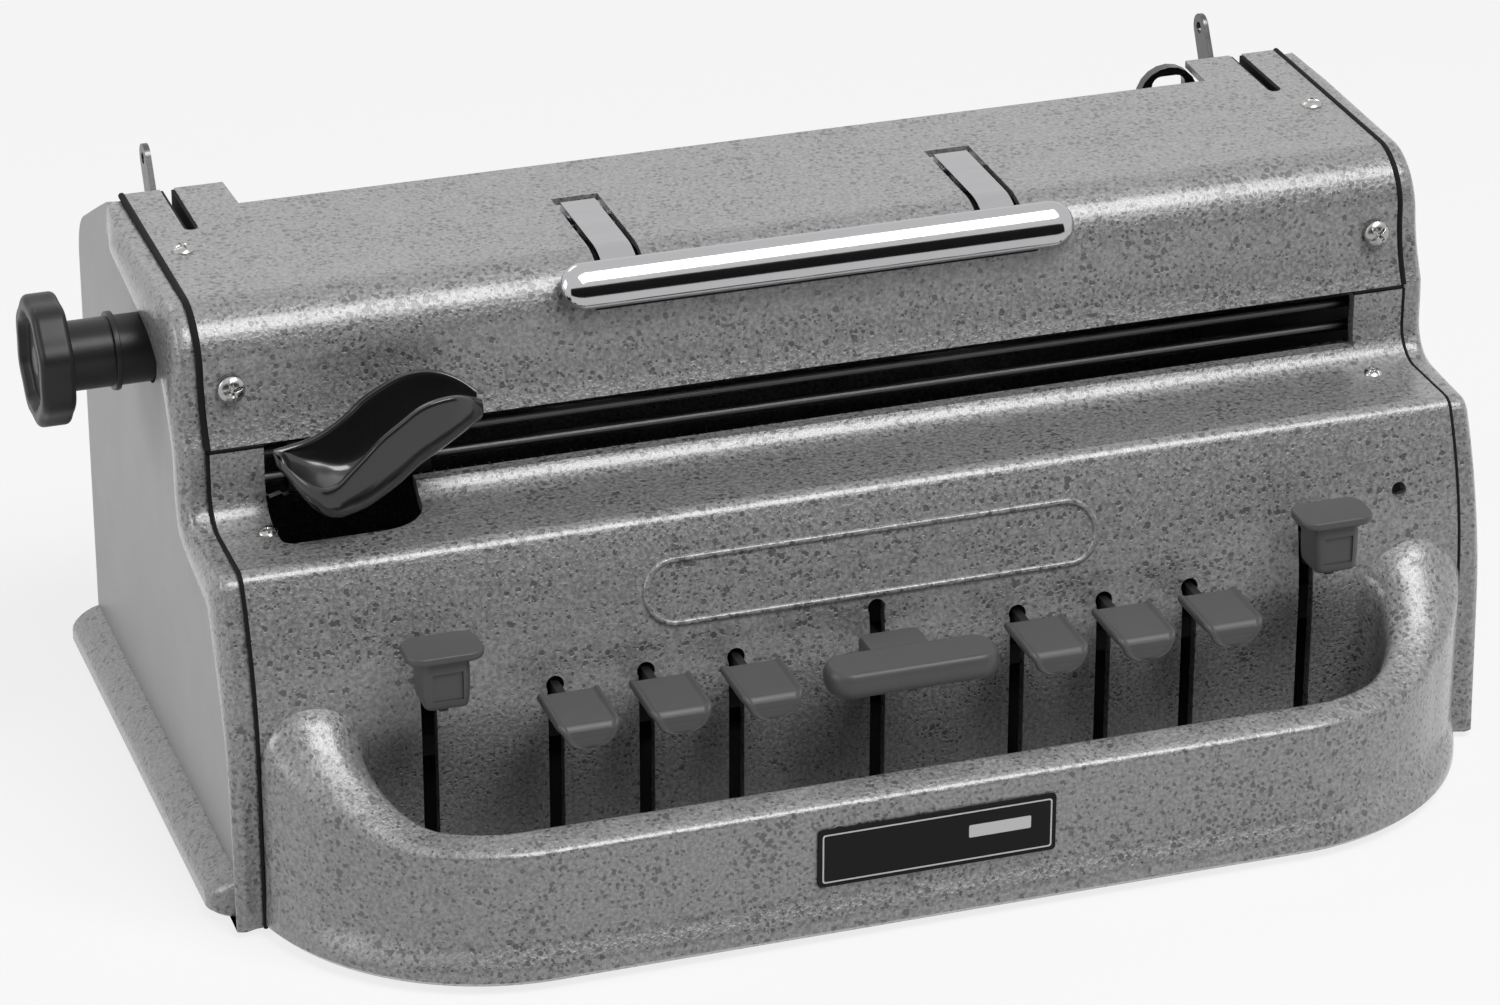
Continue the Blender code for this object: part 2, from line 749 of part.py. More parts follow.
def well_floor():
    """The floor of the key well, let into the rail all round."""
    lap = WALL / 2
    points = [(-WELL_X - lap, face_y(0) + WALL / 2)]
    points += arc(-WELL_X + WELL_R, WELL_Y + WELL_R, WELL_R + lap, 180, 270)
    points += arc(WELL_X - WELL_R, WELL_Y + WELL_R, WELL_R + lap, 270, 360)
    points += [(WELL_X + lap, face_y(0) + WALL / 2)]
    return slab_z(points, FLOOR_TOP - FLOOR_T, FLOOR_TOP)


def keyhole(x, hole_z):
    """A key slot's outline in X and Z: a straight slot with a round head."""
    half_deg = math.degrees(math.asin(SLOT_W / 2 / SLOT_HOLE_R))
    points = [(x - SLOT_W / 2, SLOT_LOW), (x + SLOT_W / 2, SLOT_LOW)]
    points += arc(x, hole_z, SLOT_HOLE_R, -90 + half_deg, 270 - half_deg, 12)
    return points


def key_places():
    """Every key as (name, x, slot head height)."""
    places = []
    for i in range(DOT_COUNT):
        x = DOT_FIRST + i * DOT_PITCH
        places.append(("dot_key_" + str(i + 1), -x, DOT_HOLE_Z))
        places.append(("dot_key_" + str(i + 1 + DOT_COUNT), x, DOT_HOLE_Z))
    places.append(("space_key", 0.0, SPACE_HOLE_Z))
    places.append(("line_key", -SIDE_KEY_X, SIDE_KEY_SLOT_Z))
    places.append(("back_key", SIDE_KEY_X, SIDE_KEY_SLOT_Z))
    return places


ENAMEL = ((0.33, 0.33, 0.33), 0.42, 0.0)
PANEL_PAINT = ((0.42, 0.42, 0.42), 0.45, 0.0)
STEEL = ((0.55, 0.55, 0.56), 0.35, 1.0)
DARK_STEEL = ((0.12, 0.12, 0.12), 0.4, 1.0)
CHROME = ((0.85, 0.85, 0.86), 0.08, 1.0)
KEY_PLASTIC = ((0.13, 0.13, 0.13), 0.5, 0.0)
LEVER_PLASTIC = ((0.08, 0.08, 0.08), 0.25, 0.0)
KNOB_PLASTIC = ((0.06, 0.06, 0.06), 0.4, 0.0)
RUBBER = ((0.02, 0.02, 0.02), 0.8, 0.0)
BRASS = ((0.7, 0.5, 0.2), 0.3, 1.0)
BLACK_PLATE = ((0.015, 0.015, 0.015), 0.35, 0.0)


def build_front_cover(body):
    low = FLOOR_TOP - FLOOR_T
    outline = sheet_outline(front_line(low), WALL)
    item = piece("front_cover", slab_x(outline, -EDGE_X, EDGE_X), body, ENAMEL, 35)
    join(item, rail_solid(), body)
    join(item, well_floor(), body)
    opening = box((-OPEN_X, LIP_Y - POST_FILLET, OPEN_Z),
                  (OPEN_X, LIP_Y + WALL + OVERRUN, POST_TOP + OVERRUN))
    cut(item, opening, body)
    notch = arc(-OPEN_X + NOTCH_SMALL_R, NOTCH_FRONT + NOTCH_SMALL_R, NOTCH_SMALL_R, 180, 270, 4)
    notch += arc(NOTCH_RIGHT - NOTCH_LARGE_R, NOTCH_FRONT + NOTCH_LARGE_R, NOTCH_LARGE_R, 270, 360, 6)
    notch += [(NOTCH_RIGHT, LIP_Y + OVERRUN), (-OPEN_X, LIP_Y + OVERRUN)]
    cut(item, slab_z(notch, SHELF_Z - WALL - OVERRUN, OPEN_Z + OVERRUN), body)
    slots = [slab_y(keyhole(x, hole_z), FACE_Y - OVERRUN, FACE_Y + WALL + 2 * OVERRUN)
             for _, x, hole_z in key_places()]
    slots.append(slab_y(circle(SIDE_HOLE_X, SIDE_HOLE_Z, SIDE_HOLE_R, 12), FACE_Y - OVERRUN,
                        FACE_Y + WALL + 2 * OVERRUN))
    cut(item, merged(slots), body)
    return item


def build_top_cover(body):
    outline = sheet_outline(cover_line(EAR_Y), COVER_T)
    item = piece("top_cover", slab_x(outline, -EDGE_X, EDGE_X), body, ENAMEL, 35)
    low = DECK_Z - OVERRUN
    high = DECK_Z + OVERRUN
    wide = RECESS_X + RECESS_SPREAD
    recess = [(-RECESS_X, RECESS_Y), (RECESS_X, RECESS_Y)]
    recess += [(wide, EAR_Y + OVERRUN), (-wide, EAR_Y + OVERRUN)]
    cuts = [slab_z(recess, low, high)]
    for side in (-1, 1):
        x = side * RELEASE_X
        half = RELEASE_SLOT_W / 2
        slot = arc(x, RELEASE_SLOT_Y + half, half, 180, 360, 6)
        slot += [(x + half, EAR_Y + OVERRUN), (x - half, EAR_Y + OVERRUN)]
        cuts.append(slab_z(slot, low, high))
        x = side * STRAP_X
        half = STRAP_SLOT_W / 2
        strap_slot = box((x - half, TOP_CY - TOP_R - OVERRUN, STRAP_SLOT_LOW),
                         (x + half, HANDLE_Y + STRAP_SLOT_BACK, high))
        cuts.append(strap_slot)
    cut(item, merged(cuts), body)
    return item


def back_legs():
    """The plate's edge behind the deck in legs: the slope, the round corner and the back."""
    slope = math.atan2(DECK_Z - BACK_SHOULDER_Z, BACK_SHOULDER_Y - DECK_END_Y)
    corner_y = HALF_DEPTH - BACK_CORNER_R
    start_deg = 90 - math.degrees(slope)
    corner_z = (BACK_SHOULDER_Z - (corner_y + BACK_CORNER_R * math.sin(slope) - BACK_SHOULDER_Y)
                * math.tan(slope) - BACK_CORNER_R * math.cos(slope))
    corner = arc(corner_y, corner_z, BACK_CORNER_R, start_deg, 0, 7)
    return [[(DECK_END_Y, DECK_Z), corner[0]], corner, [corner[-1], (HALF_DEPTH, 0)]]


def spread_points(points, count):
    """Spaces a number of points evenly along an open line."""
    lengths = [0.0]
    for a, b in zip(points, points[1:]):
        lengths.append(lengths[-1] + math.dist(a, b))
    spaced = []
    leg = 0
    for i in range(count):
        goal = lengths[-1] * i / (count - 1)
        while leg < len(points) - 2 and lengths[leg + 1] < goal:
            leg += 1
        part = (goal - lengths[leg]) / (lengths[leg + 1] - lengths[leg])
        a, b = points[leg], points[leg + 1]
        spaced.append((a[0] + (b[0] - a[0]) * part, a[1] + (b[1] - a[1]) * part))
    return spaced


def bead_lines():
    """The plate's edge and the bead's inner boundary beside it, point for point."""
    legs = front_legs(0) + cover_legs(DECK_END_Y) + back_legs()
    fold_y = legs[2][-1][0]
    corner = legs[10]
    stops = [(face_y(0) + BEAD_FOOT_W, 0), (FACE_Y + BEAD_FACE_W, FACE_Z)]
    stops += [(fold_y + BEAD_BROW_IN, SHELF_Z - BEAD_BROW_DROP)]
    stops += [(fold_y + BEAD_BROW_IN, SHELF_Z - BEAD_FOLD_DROP)]
    stops += [(LIP_Y + BEAD_SHELF_IN, SHELF_Z - BEAD_SHELF_DROP)]
    stops += [(LIP_Y + BEAD_POST_W, SHELF_Z + BEAD_POST_RISE)]
    stops += [(LIP_Y + BEAD_POST_W, POST_TOP - BEAD_TURN_DROP)]
    stops += [(TOP_CY + BEAD_ROLL_IN, TOP_CZ - BEAD_ROLL_DROP)]
    stops += [(TOP_CY + BEAD_DECK_IN, DECK_Z - BEAD_DECK_DROP)]
    stops += [(DECK_END_Y + BEAD_END_IN, DECK_Z - BEAD_END_DROP)]
    stops += [(corner[0][0] - BEAD_BACK_W, corner[0][1] - BEAD_BACK_W)]
    stops += [(HALF_DEPTH - BEAD_BACK_W, corner[-1][1] - BEAD_BACK_W), (HALF_DEPTH - BEAD_BACK_W, 0)]
    edge = []
    inner = []
    for leg, steps, start, end in zip(legs, BEAD_LEG_STEPS, stops, stops[1:]):
        edge += spread_points(leg, steps + 1)[:-1]
        inner += spread_points([start, end], steps + 1)[:-1]
    edge.append(legs[-1][-1])
    inner.append(stops[-1])
    for _ in range(BEAD_SMOOTHING):
        middle = [((a[0] + 2 * b[0] + c[0]) / 4, (a[1] + 2 * b[1] + c[1]) / 4)
                  for a, b, c in zip(inner, inner[1:], inner[2:])]
        inner = [inner[0]] + middle + [inner[-1]]
    return edge, inner


def plate_solid(side):
    """A cast side plate: flat back, flat panel, and a round bead along its front and top edge."""
    edge, inner = bead_lines()
    rings = [[(side * PLATE_IN, y, z) for y, z in edge]]
    for share, lift in BEAD_PROFILE_SHARES:
        ring = []
        for (y, z), (iy, iz) in zip(edge, inner):
            fade = min(1, max(0, (DECK_END_Y - y) / (DECK_END_Y - BEAD_FADE_FROM)))
            out = PANEL_X + (PANEL_T * lift if lift < 0 else BEAD_RISE * lift * fade)
            ring.append((side * out, y + (iy - y) * share, z + (iz - z) * share))
        rings.append(ring)
    return loft(rings)


def skirt_solid(side):
    """The flared foot along a side plate, with a round nose at its front end."""
    section = [(PLATE_IN + PANEL_T / 2, SKIRT_TOP), (PANEL_X, SKIRT_TOP)]
    section += [(PANEL_X + SKIRT_OUT * 0.45, SKIRT_TOP * 0.82), (PANEL_X + SKIRT_OUT, SKIRT_MID)]
    section += [(PANEL_X + SKIRT_OUT, SKIRT_FOOT), (PANEL_X + SKIRT_OUT - SKIRT_FOOT, SEAT_GAP)]
    section += [(PLATE_IN + PANEL_T / 2, SEAT_GAP)]
    root = PLATE_IN + PANEL_T / 2
    rings = []
    for deg in (0, 25, 50, 75, 90):
        scale = max(math.sin(math.radians(deg)), SKIRT_TIP_SHARE)
        y = SKIRT_FRONT + SKIRT_NOSE * (1 - math.cos(math.radians(deg)))
        rings.append([(side * (root + (x - root) * scale), y, z) for x, z in section])
    rings.append([(side * x, SKIRT_REAR, z) for x, z in section])
    return loft(rings)


def build_side_plates(body):
    for name, side in (("left_side_plate", -1), ("right_side_plate", 1)):
        item = piece(name, plate_solid(side), body, PANEL_PAINT, 35)
        join(item, skirt_solid(side), body)
        if side < 0:
            ends = side * (PLATE_IN - OVERRUN), side * (PANEL_X + BEAD_RISE + OVERRUN)
            cut(item, slab_x(circle(DRUM_Y, DRUM_Z, SLEEVE_HOLE_R, 32), *ends), body)


def build_rear_cover(body):
    line = [(REAR_LEDGE_Y, REAR_TOP)]
    line += arc(REAR_Y + REAR_T - REAR_BEND_R, REAR_TOP - REAR_BEND_R, REAR_BEND_R, 90, 0, 5)
    line += [(REAR_Y + REAR_T, REAR_FOOT)]
    item = piece("rear_cover", slab_x(sheet_outline(line, -REAR_T), -EDGE_X, EDGE_X), body, ENAMEL, 35)
    half = MARGIN_SLOT_H / 2
    slot = box((-MARGIN_SLOT_X, REAR_Y - OVERRUN, MARGIN_Z - half),
               (MARGIN_SLOT_X, REAR_Y + REAR_T + OVERRUN, MARGIN_Z + half))
    cut(item, slot, body)


def build_feet(body):
    """Four rubber feet: two under the key well's floor and two under the base pan."""
    under_well = FLOOR_TOP - FLOOR_T - SEAT_GAP
    under_pan = PAN_LOW - SEAT_GAP
    spots = (("foot_front_left", -FOOT_FRONT_X, FOOT_FRONT_Y, under_well),
             ("foot_front_right", FOOT_FRONT_X, FOOT_FRONT_Y, under_well),
             ("foot_rear_left", -FOOT_BACK_X, FOOT_BACK_Y, under_pan),
             ("foot_rear_right", FOOT_BACK_X, FOOT_BACK_Y, under_pan))
    for name, x, y, top in spots:
        stations = [(FOOT_TIP_R, -FOOT_PROUD), (FOOT_R, 0), (FOOT_R, top)]
        piece(name, turned_z(x, y, stations, 24), body, RUBBER, 35)


def build_label(body):
    front = -(-BASE_CY + BASE_R) + BASE_FLARE - SEAT_GAP
    low = LABEL_Z - LABEL_H / 2
    outline = rounded(-LABEL_W / 2, low, LABEL_W / 2, low + LABEL_H, LABEL_CORNER)
    piece("label_plate", slab_y(outline, front - LABEL_T, front), body, BLACK_PLATE, 35)


def build_handle(body):
    pivot = add_pivot("handle_axis", (0, HANDLE_Y, HANDLE_Z), body)
    for name, side in (("left", -1), ("right", 1)):
        x = side * STRAP_X
        line = [(HANDLE_Y + STRAP_END, DECK_Z)]
        line += arc(TOP_CY, TOP_CZ, TOP_R, 90, GRIP_DEG, 7)
        x0 = x - STRAP_W / 2
        x1 = x + STRAP_W / 2
        strip = slab_x(sheet_outline(line, STRAP_T), x0, x1)
        strap = piece("handle_strap_" + name, strip, pivot, CHROME, 35)
        join(strap, slab_x(circle(HANDLE_Y, HANDLE_Z, KNUCKLE_R, 20), x0, x1), pivot)
        bore = circle(HANDLE_Y, HANDLE_Z, HANDLE_PIN_R + RUN_CLEARANCE, 24)
        cut(strap, slab_x(bore, x0 - OVERRUN, x1 + OVERRUN), pivot)
        build_hanger("handle_hanger_" + name, x, body)
    grip_r = TOP_R + SEAT_GAP + GRIP_DEEP
    angle = math.radians(GRIP_DEG)
    cy = TOP_CY + grip_r * math.cos(angle)
    cz = TOP_CZ + grip_r * math.sin(angle)
    rings = []
    for end in (-1, 1):
        degrees = (12, 35, 60, 90) if end < 0 else (90, 60, 35, 12)
        for deg in degrees:
            scale = math.sin(math.radians(deg))
            x = end * (GRIP_HALF - GRIP_HIGH * (1 - math.cos(math.radians(deg))))
            rings.append(grip_ring(x, cy, cz, scale, angle))
    piece("handle_grip", loft(rings), pivot, CHROME, 50)


def grip_ring(x, cy, cz, scale, angle):
    """An oval round the grip: deep along the cover's normal and high along its surface."""
    ring = []
    for i in range(20):
        turn = 2 * math.pi * i / 20
        deep = GRIP_DEEP * scale * math.cos(turn)
        high = GRIP_HIGH * scale * math.sin(turn)
        ring.append((x, cy + deep * math.cos(angle) - high * math.sin(angle),
                     cz + deep * math.sin(angle) + high * math.cos(angle)))
    return ring


def build_hanger(name, x, body):
    """The saddle under the top cover that holds one strap's pin."""
    inner = STRAP_SLOT_W / 2 + SEAT_GAP
    outer = inner + CHEEK_T
    low = HANDLE_Z - KNUCKLE_R - SEAT_GAP - BRIDGE_T
    high = DECK_Z - COVER_T - SEAT_GAP
    section = [(x - outer, low), (x + outer, low), (x + outer, high), (x + inner, high)]
    section += [(x + inner, low + BRIDGE_T), (x - inner, low + BRIDGE_T)]
    section += [(x - inner, high), (x - outer, high)]
    front = HANDLE_Y - CHEEK_LONG / 2
    item = piece(name, slab_y(section, front, front + CHEEK_LONG), body, STEEL, 35)
    reach = outer - CHEEK_T / 2
    join(item, slab_x(circle(HANDLE_Y, HANDLE_Z, HANDLE_PIN_R, 20), x - reach, x + reach), body)


def build_feed(body):
    pivot = add_pivot("feed_axis", (0, DRUM_Y, DRUM_Z), body)
    bore = SHAFT_R + RUN_CLEARANCE
    inner = DRUM_R - DRUM_WALL
    wall = DRUM_X - DRUM_WALL
    outline = [(-DRUM_X, bore), (-DRUM_X, DRUM_R), (DRUM_X, DRUM_R), (DRUM_X, bore)]
    outline += [(wall, bore), (wall, inner), (-wall, inner), (-wall, bore)]
    piece("feed_roller", tube_x(DRUM_Y, DRUM_Z, outline, 40), pivot, RUBBER, 35)
    shaft = slab_x(circle(DRUM_Y, DRUM_Z, SHAFT_R, 24), -KNOB_IN, FRAME_X + SEAT_GAP)
    piece("feed_shaft", shaft, pivot, STEEL, 35)
    collar_in = COLLAR_T / 2 - COLLAR_X
    collar_out = -COLLAR_T / 2 - COLLAR_X
    stations = [(-SLEEVE_IN, SLEEVE_R), (collar_in, SLEEVE_R), (collar_in, COLLAR_R)]
    stations += [(collar_out, COLLAR_R), (collar_out, SLEEVE_R), (-KNOB_IN - KNOB_EDGE, SLEEVE_R)]
    sleeve = turned_x(DRUM_Y, DRUM_Z, stations, 32)
    knob = piece("feed_knob", sleeve, pivot, KNOB_PLASTIC, 35)
    rim = [(-KNOB_IN, KNOB_R - KNOB_EDGE)]
    rim += [(-KNOB_IN - KNOB_EDGE, KNOB_R), (-KNOB_OUT + KNOB_EDGE, KNOB_R)]
    rim += [(-KNOB_OUT, KNOB_R - KNOB_EDGE), (-KNOB_OUT, KNOB_DISH_R + KNOB_EDGE / 2)]
    rim += [(-KNOB_OUT + KNOB_DISH_DEEP, KNOB_DISH_R)]
    join(knob, turned_x(DRUM_Y, DRUM_Z, rim, 72, KNOB_LOBES, KNOB_LOBE_SHARE), pivot)
    shaft_hole = circle(DRUM_Y, DRUM_Z, bore, 24)
    cut(knob, slab_x(shaft_hole, -KNOB_IN - SEAT_GAP, -SLEEVE_IN + OVERRUN), pivot)
    teeth = []
    for i in range(RATCHET_TEETH):
        step = 360 / RATCHET_TEETH
        for part, r in ((0, RATCHET_R), (0.9, RATCHET_R - RATCHET_TOOTH)):
            angle = math.radians((i + part) * step)
            teeth.append((DRUM_Y + r * math.cos(angle), DRUM_Z + r * math.sin(angle)))
    ratchet = piece("line_ratchet", slab_x(teeth, RATCHET_X, RATCHET_X + RATCHET_T), pivot, STEEL)
    cut(ratchet, slab_x(shaft_hole, RATCHET_X - OVERRUN, RATCHET_X + OVERRUN), pivot)


def frame_outline():
    points = [(FRAME_LOW_FRONT, FRAME_FOOT), (FRAME_LOW_FRONT, FRAME_SHELF), (FRAME_FRONT, FRAME_SHELF)]
    points += [(FRAME_FRONT, FRAME_BROW_LOW), (FRAME_BROW_Y, FRAME_BROW), (TOP_CY, FRAME_TOP)]
    points += [(FRAME_DECK_Y, FRAME_TOP), (FRAME_BACK_Y, FRAME_BACK_Z), (FRAME_BACK_Y, FRAME_FOOT)]
    return points


def stop_bar_top():
    """The stop bar's upper face: just under the lowest lever when its key is fully down."""
    hub_low = (HUB_R * math.cos(math.radians(215)), HUB_R * math.sin(math.radians(215)))
    lever_top = min(DOT_TOP - CAP_LIP, SPACE_TOP - SPACE_BAR_T, SIDE_BLOCK_LOW) - SEAT_GAP
    knee_low = (FACE_Y + 2 * WALL - KEY_Y, lever_top - LEVER_H - KEY_Z)
    turn = math.radians(KEY_TRAVEL_DEG)
    ends = []
    for y, z in (hub_low, knee_low):
        ends.append((y * math.cos(turn) - z * math.sin(turn), y * math.sin(turn) + z * math.cos(turn)))
    (y0, z0), (y1, z1) = ends
    heights = []
    for y in (STOP_BAR_Y - BAR_W / 2 - KEY_Y, STOP_BAR_Y + BAR_W / 2 - KEY_Y):
        heights.append(z0 + (z1 - z0) * (y - y0) / (y1 - y0))
    return KEY_Z + min(heights) - SEAT_GAP


def build_frame(body):
    bores = [(DRUM_Y, DRUM_Z, SHAFT_R), (RELEASE_Y, RELEASE_Z, RELEASE_R), (KEY_Y, KEY_Z, KEY_SHAFT_R)]
    bores += [(ROD_Y, UPPER_ROD_Z, ROD_R), (ROD_Y, LOWER_ROD_Z, ROD_R)]
    for name, side in (("left_frame_plate", -1), ("right_frame_plate", 1)):
        plate = slab_x(frame_outline(), side * FRAME_X, side * (FRAME_X - FRAME_T))
        item = piece(name, plate, body, STEEL)
        ends = side * (FRAME_X + OVERRUN), side * (FRAME_X - FRAME_T - OVERRUN)
        holes = [slab_x(circle(y, z, r + RUN_CLEARANCE, 24), *ends) for y, z, r in bores]
        cut(item, merged(holes), body)
    length = FRAME_X - FRAME_T - SEAT_GAP
    shaft = slab_x(circle(KEY_Y, KEY_Z, KEY_SHAFT_R, 24), -FRAME_X, FRAME_X)
    piece("key_shaft", shaft, body, STEEL, 35)
    for name, z in (("upper_head_rod", UPPER_ROD_Z), ("lower_head_rod", LOWER_ROD_Z)):
        piece(name, slab_x(circle(ROD_Y, z, ROD_R, 16), -FRAME_X, FRAME_X), body, STEEL, 35)
    bars = (("key_stop_bar", STOP_BAR_Y, stop_bar_top()),
            ("key_tail_bar", TAIL_BAR_Y, KEY_Z - LEVER_H / 2 - SEAT_GAP))
    for name, y, top in bars:
        bar = box((-length, y - BAR_W / 2, top - BAR_H), (length, y + BAR_W / 2, top))
        piece(name, bar, body, DARK_STEEL)
    build_rack(body, length)


def build_rack(body, length):
    """The toothed rail that the embossing head steps along."""
    points = [(-length, RACK_Z - RACK_H / 2), (length, RACK_Z - RACK_H / 2)]
    pitch = 2 * length / RACK_TEETH
    top = RACK_Z + RACK_H / 2
    for i in range(RACK_TEETH):
        x = length - i * pitch
        points += [(x, top), (x - pitch * 0.8, top - RACK_TOOTH)]
    points += [(-length, top)]
    piece("head_rack", slab_y(points, ROD_Y - RACK_T / 2, ROD_Y + RACK_T / 2), body, STEEL)


def build_release(body):
    """The paper release: two thumb levers and a rubber roller on one cross shaft."""
    pivot = add_pivot("release_axis", (0, RELEASE_Y, RELEASE_Z), body)
    bar = slab_x(circle(RELEASE_Y, RELEASE_Z, RELEASE_R, 20), -FRAME_X, FRAME_X)
    shaft = piece("release_shaft", bar, pivot, STEEL, 35)
    reach = DRUM_R + ROLLER_R + NIP_GAP
    roller_y = DRUM_Y + reach * math.cos(math.radians(NIP_DEG))
    roller_z = DRUM_Z + reach * math.sin(math.radians(NIP_DEG))
    for side in (-1, 1):
        x0 = side * ARM_X - ARM_T / 2
        x1 = side * ARM_X + ARM_T / 2
        strip = link_outline((RELEASE_Y, RELEASE_Z), (roller_y, roller_z), RELEASE_HUB_R,
                             ROLLER_R * ARM_SHARE)
        join(shaft, slab_x(strip, x0, x1), pivot)
        eye = circle(roller_y, roller_z, ROLLER_PIN_R + RUN_CLEARANCE, 16)
        cut(shaft, slab_x(eye, x0 - OVERRUN, x1 + OVERRUN), pivot)
    for name, side in (("release_lever_left", -1), ("release_lever_right", 1)):
        build_release_lever(name, side, pivot)
    spin = add_pivot("roller_axis", (0, roller_y, roller_z), pivot)
    end = ARM_X + ARM_T / 2
    stations = [(-end, ROLLER_PIN_R), (-ROLLER_X, ROLLER_PIN_R), (-ROLLER_X, ROLLER_R)]
    stations += [(ROLLER_X, ROLLER_R), (ROLLER_X, ROLLER_PIN_R), (end, ROLLER_PIN_R)]
    piece("pressure_roller", turned_x(roller_y, roller_z, stations, 20), spin, RUBBER, 35)


def build_release_lever(name, side, pivot):
    x0 = side * RELEASE_X - RELEASE_T / 2
    x1 = side * RELEASE_X + RELEASE_T / 2
    strip = link_outline((RELEASE_Y, RELEASE_Z), (RELEASE_TIP_Y, RELEASE_TIP_Z), RELEASE_HUB_R,
                         RELEASE_W / 2)
    item = piece(name, slab_x(strip, x0, x1), pivot, STEEL, 35)
    rounds = [circle(RELEASE_Y, RELEASE_Z, RELEASE_R + RUN_CLEARANCE, 24)]
    rounds += [circle(RELEASE_TIP_Y, RELEASE_TIP_Z, RELEASE_EYE_R, 12)]
    cut(item, merged([slab_x(hole, x0 - OVERRUN, x1 + OVERRUN) for hole in rounds]), pivot)


def link_outline(hub, tip, hub_r, tip_r):
    """A flat link with a round end at each of two points."""
    lean = math.degrees(math.atan2(tip[1] - hub[1], tip[0] - hub[0]))
    points = arc(hub[0], hub[1], hub_r, lean + 95, lean + 265, 8)
    points += arc(tip[0], tip[1], tip_r, lean - 90, lean + 90, 8)
    return points


def table_z(y):
    """The paper table's upper face: a slope down to the back, then level on the ledge."""
    rise = REAR_TOP + SEAT_GAP + TABLE_T - TABLE_FRONT_Z
    share = min(1, (y - TABLE_FRONT_Y) / (REAR_LEDGE_Y - TABLE_FRONT_Y))
    return TABLE_FRONT_Z + rise * share


def build_paper_path(body):
    line = [(TABLE_BACK_Y, table_z(TABLE_BACK_Y)), (REAR_LEDGE_Y, table_z(TABLE_BACK_Y))]
    line += [(TABLE_FRONT_Y, TABLE_FRONT_Z), (TABLE_FRONT_Y - TABLE_T, TABLE_FRONT_Z - TABLE_T)]
    piece("paper_table", slab_x(sheet_outline(line, TABLE_T), -TABLE_X, TABLE_X), body, STEEL)
    build_rest(body)
    build_edge_guide(body)


def build_rest(body):
    """The folding rest: a plate that lies along the table and swings over to the back."""
    pivot_z = table_z(REST_Y) + REST_RISE + REST_T / 2
    pivot = add_pivot("rest_axis", (0, REST_Y, pivot_z), body)
    plate = slab_x(rest_section(REST_FRONT_Y, REST_Y), -REST_X, REST_X)
    item = piece("reading_rest", plate, pivot, STEEL, 35)
    join(item, slab_x(circle(REST_Y, pivot_z, REST_R, 16), -REST_X, REST_X), pivot)


def rest_section(front_y, back_y):
    low = REST_RISE
    high = REST_RISE + REST_T
    return [(front_y, table_z(front_y) + low), (back_y, table_z(back_y) + low),
            (back_y, table_z(back_y) + high), (front_y, table_z(front_y) + high)]


def build_edge_guide(body):
    """A bent bracket at the table's right end that the paper's edge runs against."""
    foot = table_z(GUIDE_Y - GUIDE_T) + SEAT_GAP
    radius = GUIDE_W / 2
    arch = arc(GUIDE_X, GUIDE_TOP - radius, radius, 0, 180, 10)
    outline = [(GUIDE_X - radius, foot), (GUIDE_X + radius, foot)] + arch
    bracket = slab_y(outline, GUIDE_Y - GUIDE_T / 2, GUIDE_Y + GUIDE_T / 2)
    item = piece("edge_guide", bracket, body, STEEL, 35)
    rings = []
    spans = ((foot + GUIDE_BAND, GUIDE_SPLIT), (GUIDE_SPLIT + GUIDE_BAND, GUIDE_TOP - GUIDE_BAND))
    for low, high in spans:
        half = GUIDE_HOLE
        window = rounded(GUIDE_X - half, low, GUIDE_X + half, high, half * GUIDE_ROUND_SHARE, 4)
        rings.append(slab_y(window, GUIDE_Y - OVERRUN, GUIDE_Y + OVERRUN))
    cut(item, merged(rings), body)


def build_head(body):
    pivot = add_pivot("head_slide", (HEAD_X, ROD_Y, UPPER_ROD_Z), body)
    x0 = HEAD_X - HEAD_W / 2
    x1 = HEAD_X + HEAD_W / 2
    core = box((x0, HEAD_FRONT, HEAD_LOW), (x1, HEAD_BACK, HEAD_TOP))
    block = piece("head_block", core, pivot, DARK_STEEL, 35)
    arm_x0 = HEAD_X - HEAD_ARM_W / 2
    arm_x1 = HEAD_X + HEAD_ARM_W / 2
    arm_top = HEAD_ARM_LOW + HEAD_ARM_T
    stylus_top = DRUM_Z - DRUM_R - STYLUS_GAP
    root = HEAD_BACK - SEAT_GAP
    arm = [(root, HEAD_ARM_LOW), (HEAD_ARM_BACK, HEAD_ARM_LOW), (HEAD_ARM_BACK, arm_top)]
    arm += [(DRUM_Y + STYLUS_HALF, arm_top), (DRUM_Y + STYLUS_HALF, stylus_top)]
    arm += [(DRUM_Y - STYLUS_HALF, stylus_top), (DRUM_Y - STYLUS_HALF, arm_top), (root, arm_top)]
    join(block, slab_x(arm, arm_x0, arm_x1), pivot)
    holes = [slab_x(circle(ROD_Y, z, ROD_R + RUN_CLEARANCE, 20), x0 - OVERRUN, x1 + OVERRUN)
             for z in (UPPER_ROD_Z, LOWER_ROD_Z)]
    cut(block, merged(holes), pivot)
    lug_in = STEM_HALF + SEAT_GAP
    lug = arc(PIVOT_Y, PIVOT_Z, LUG_R, 90, 270, 8)
    lug += [(HEAD_FRONT + LUG_T, PIVOT_Z - LUG_R), (HEAD_FRONT + LUG_T, PIVOT_Z + LUG_R)]
    for side in (-1, 1):
        join(block, slab_x(lug, HEAD_X + side * lug_in, HEAD_X + side * (lug_in + LUG_T)), pivot)
    pin = circle(PIVOT_Y, PIVOT_Z, PIVOT_R, 16)
    join(block, slab_x(pin, HEAD_X - lug_in - LUG_T / 2, HEAD_X + lug_in + LUG_T / 2), pivot)
    build_paddle(pivot)


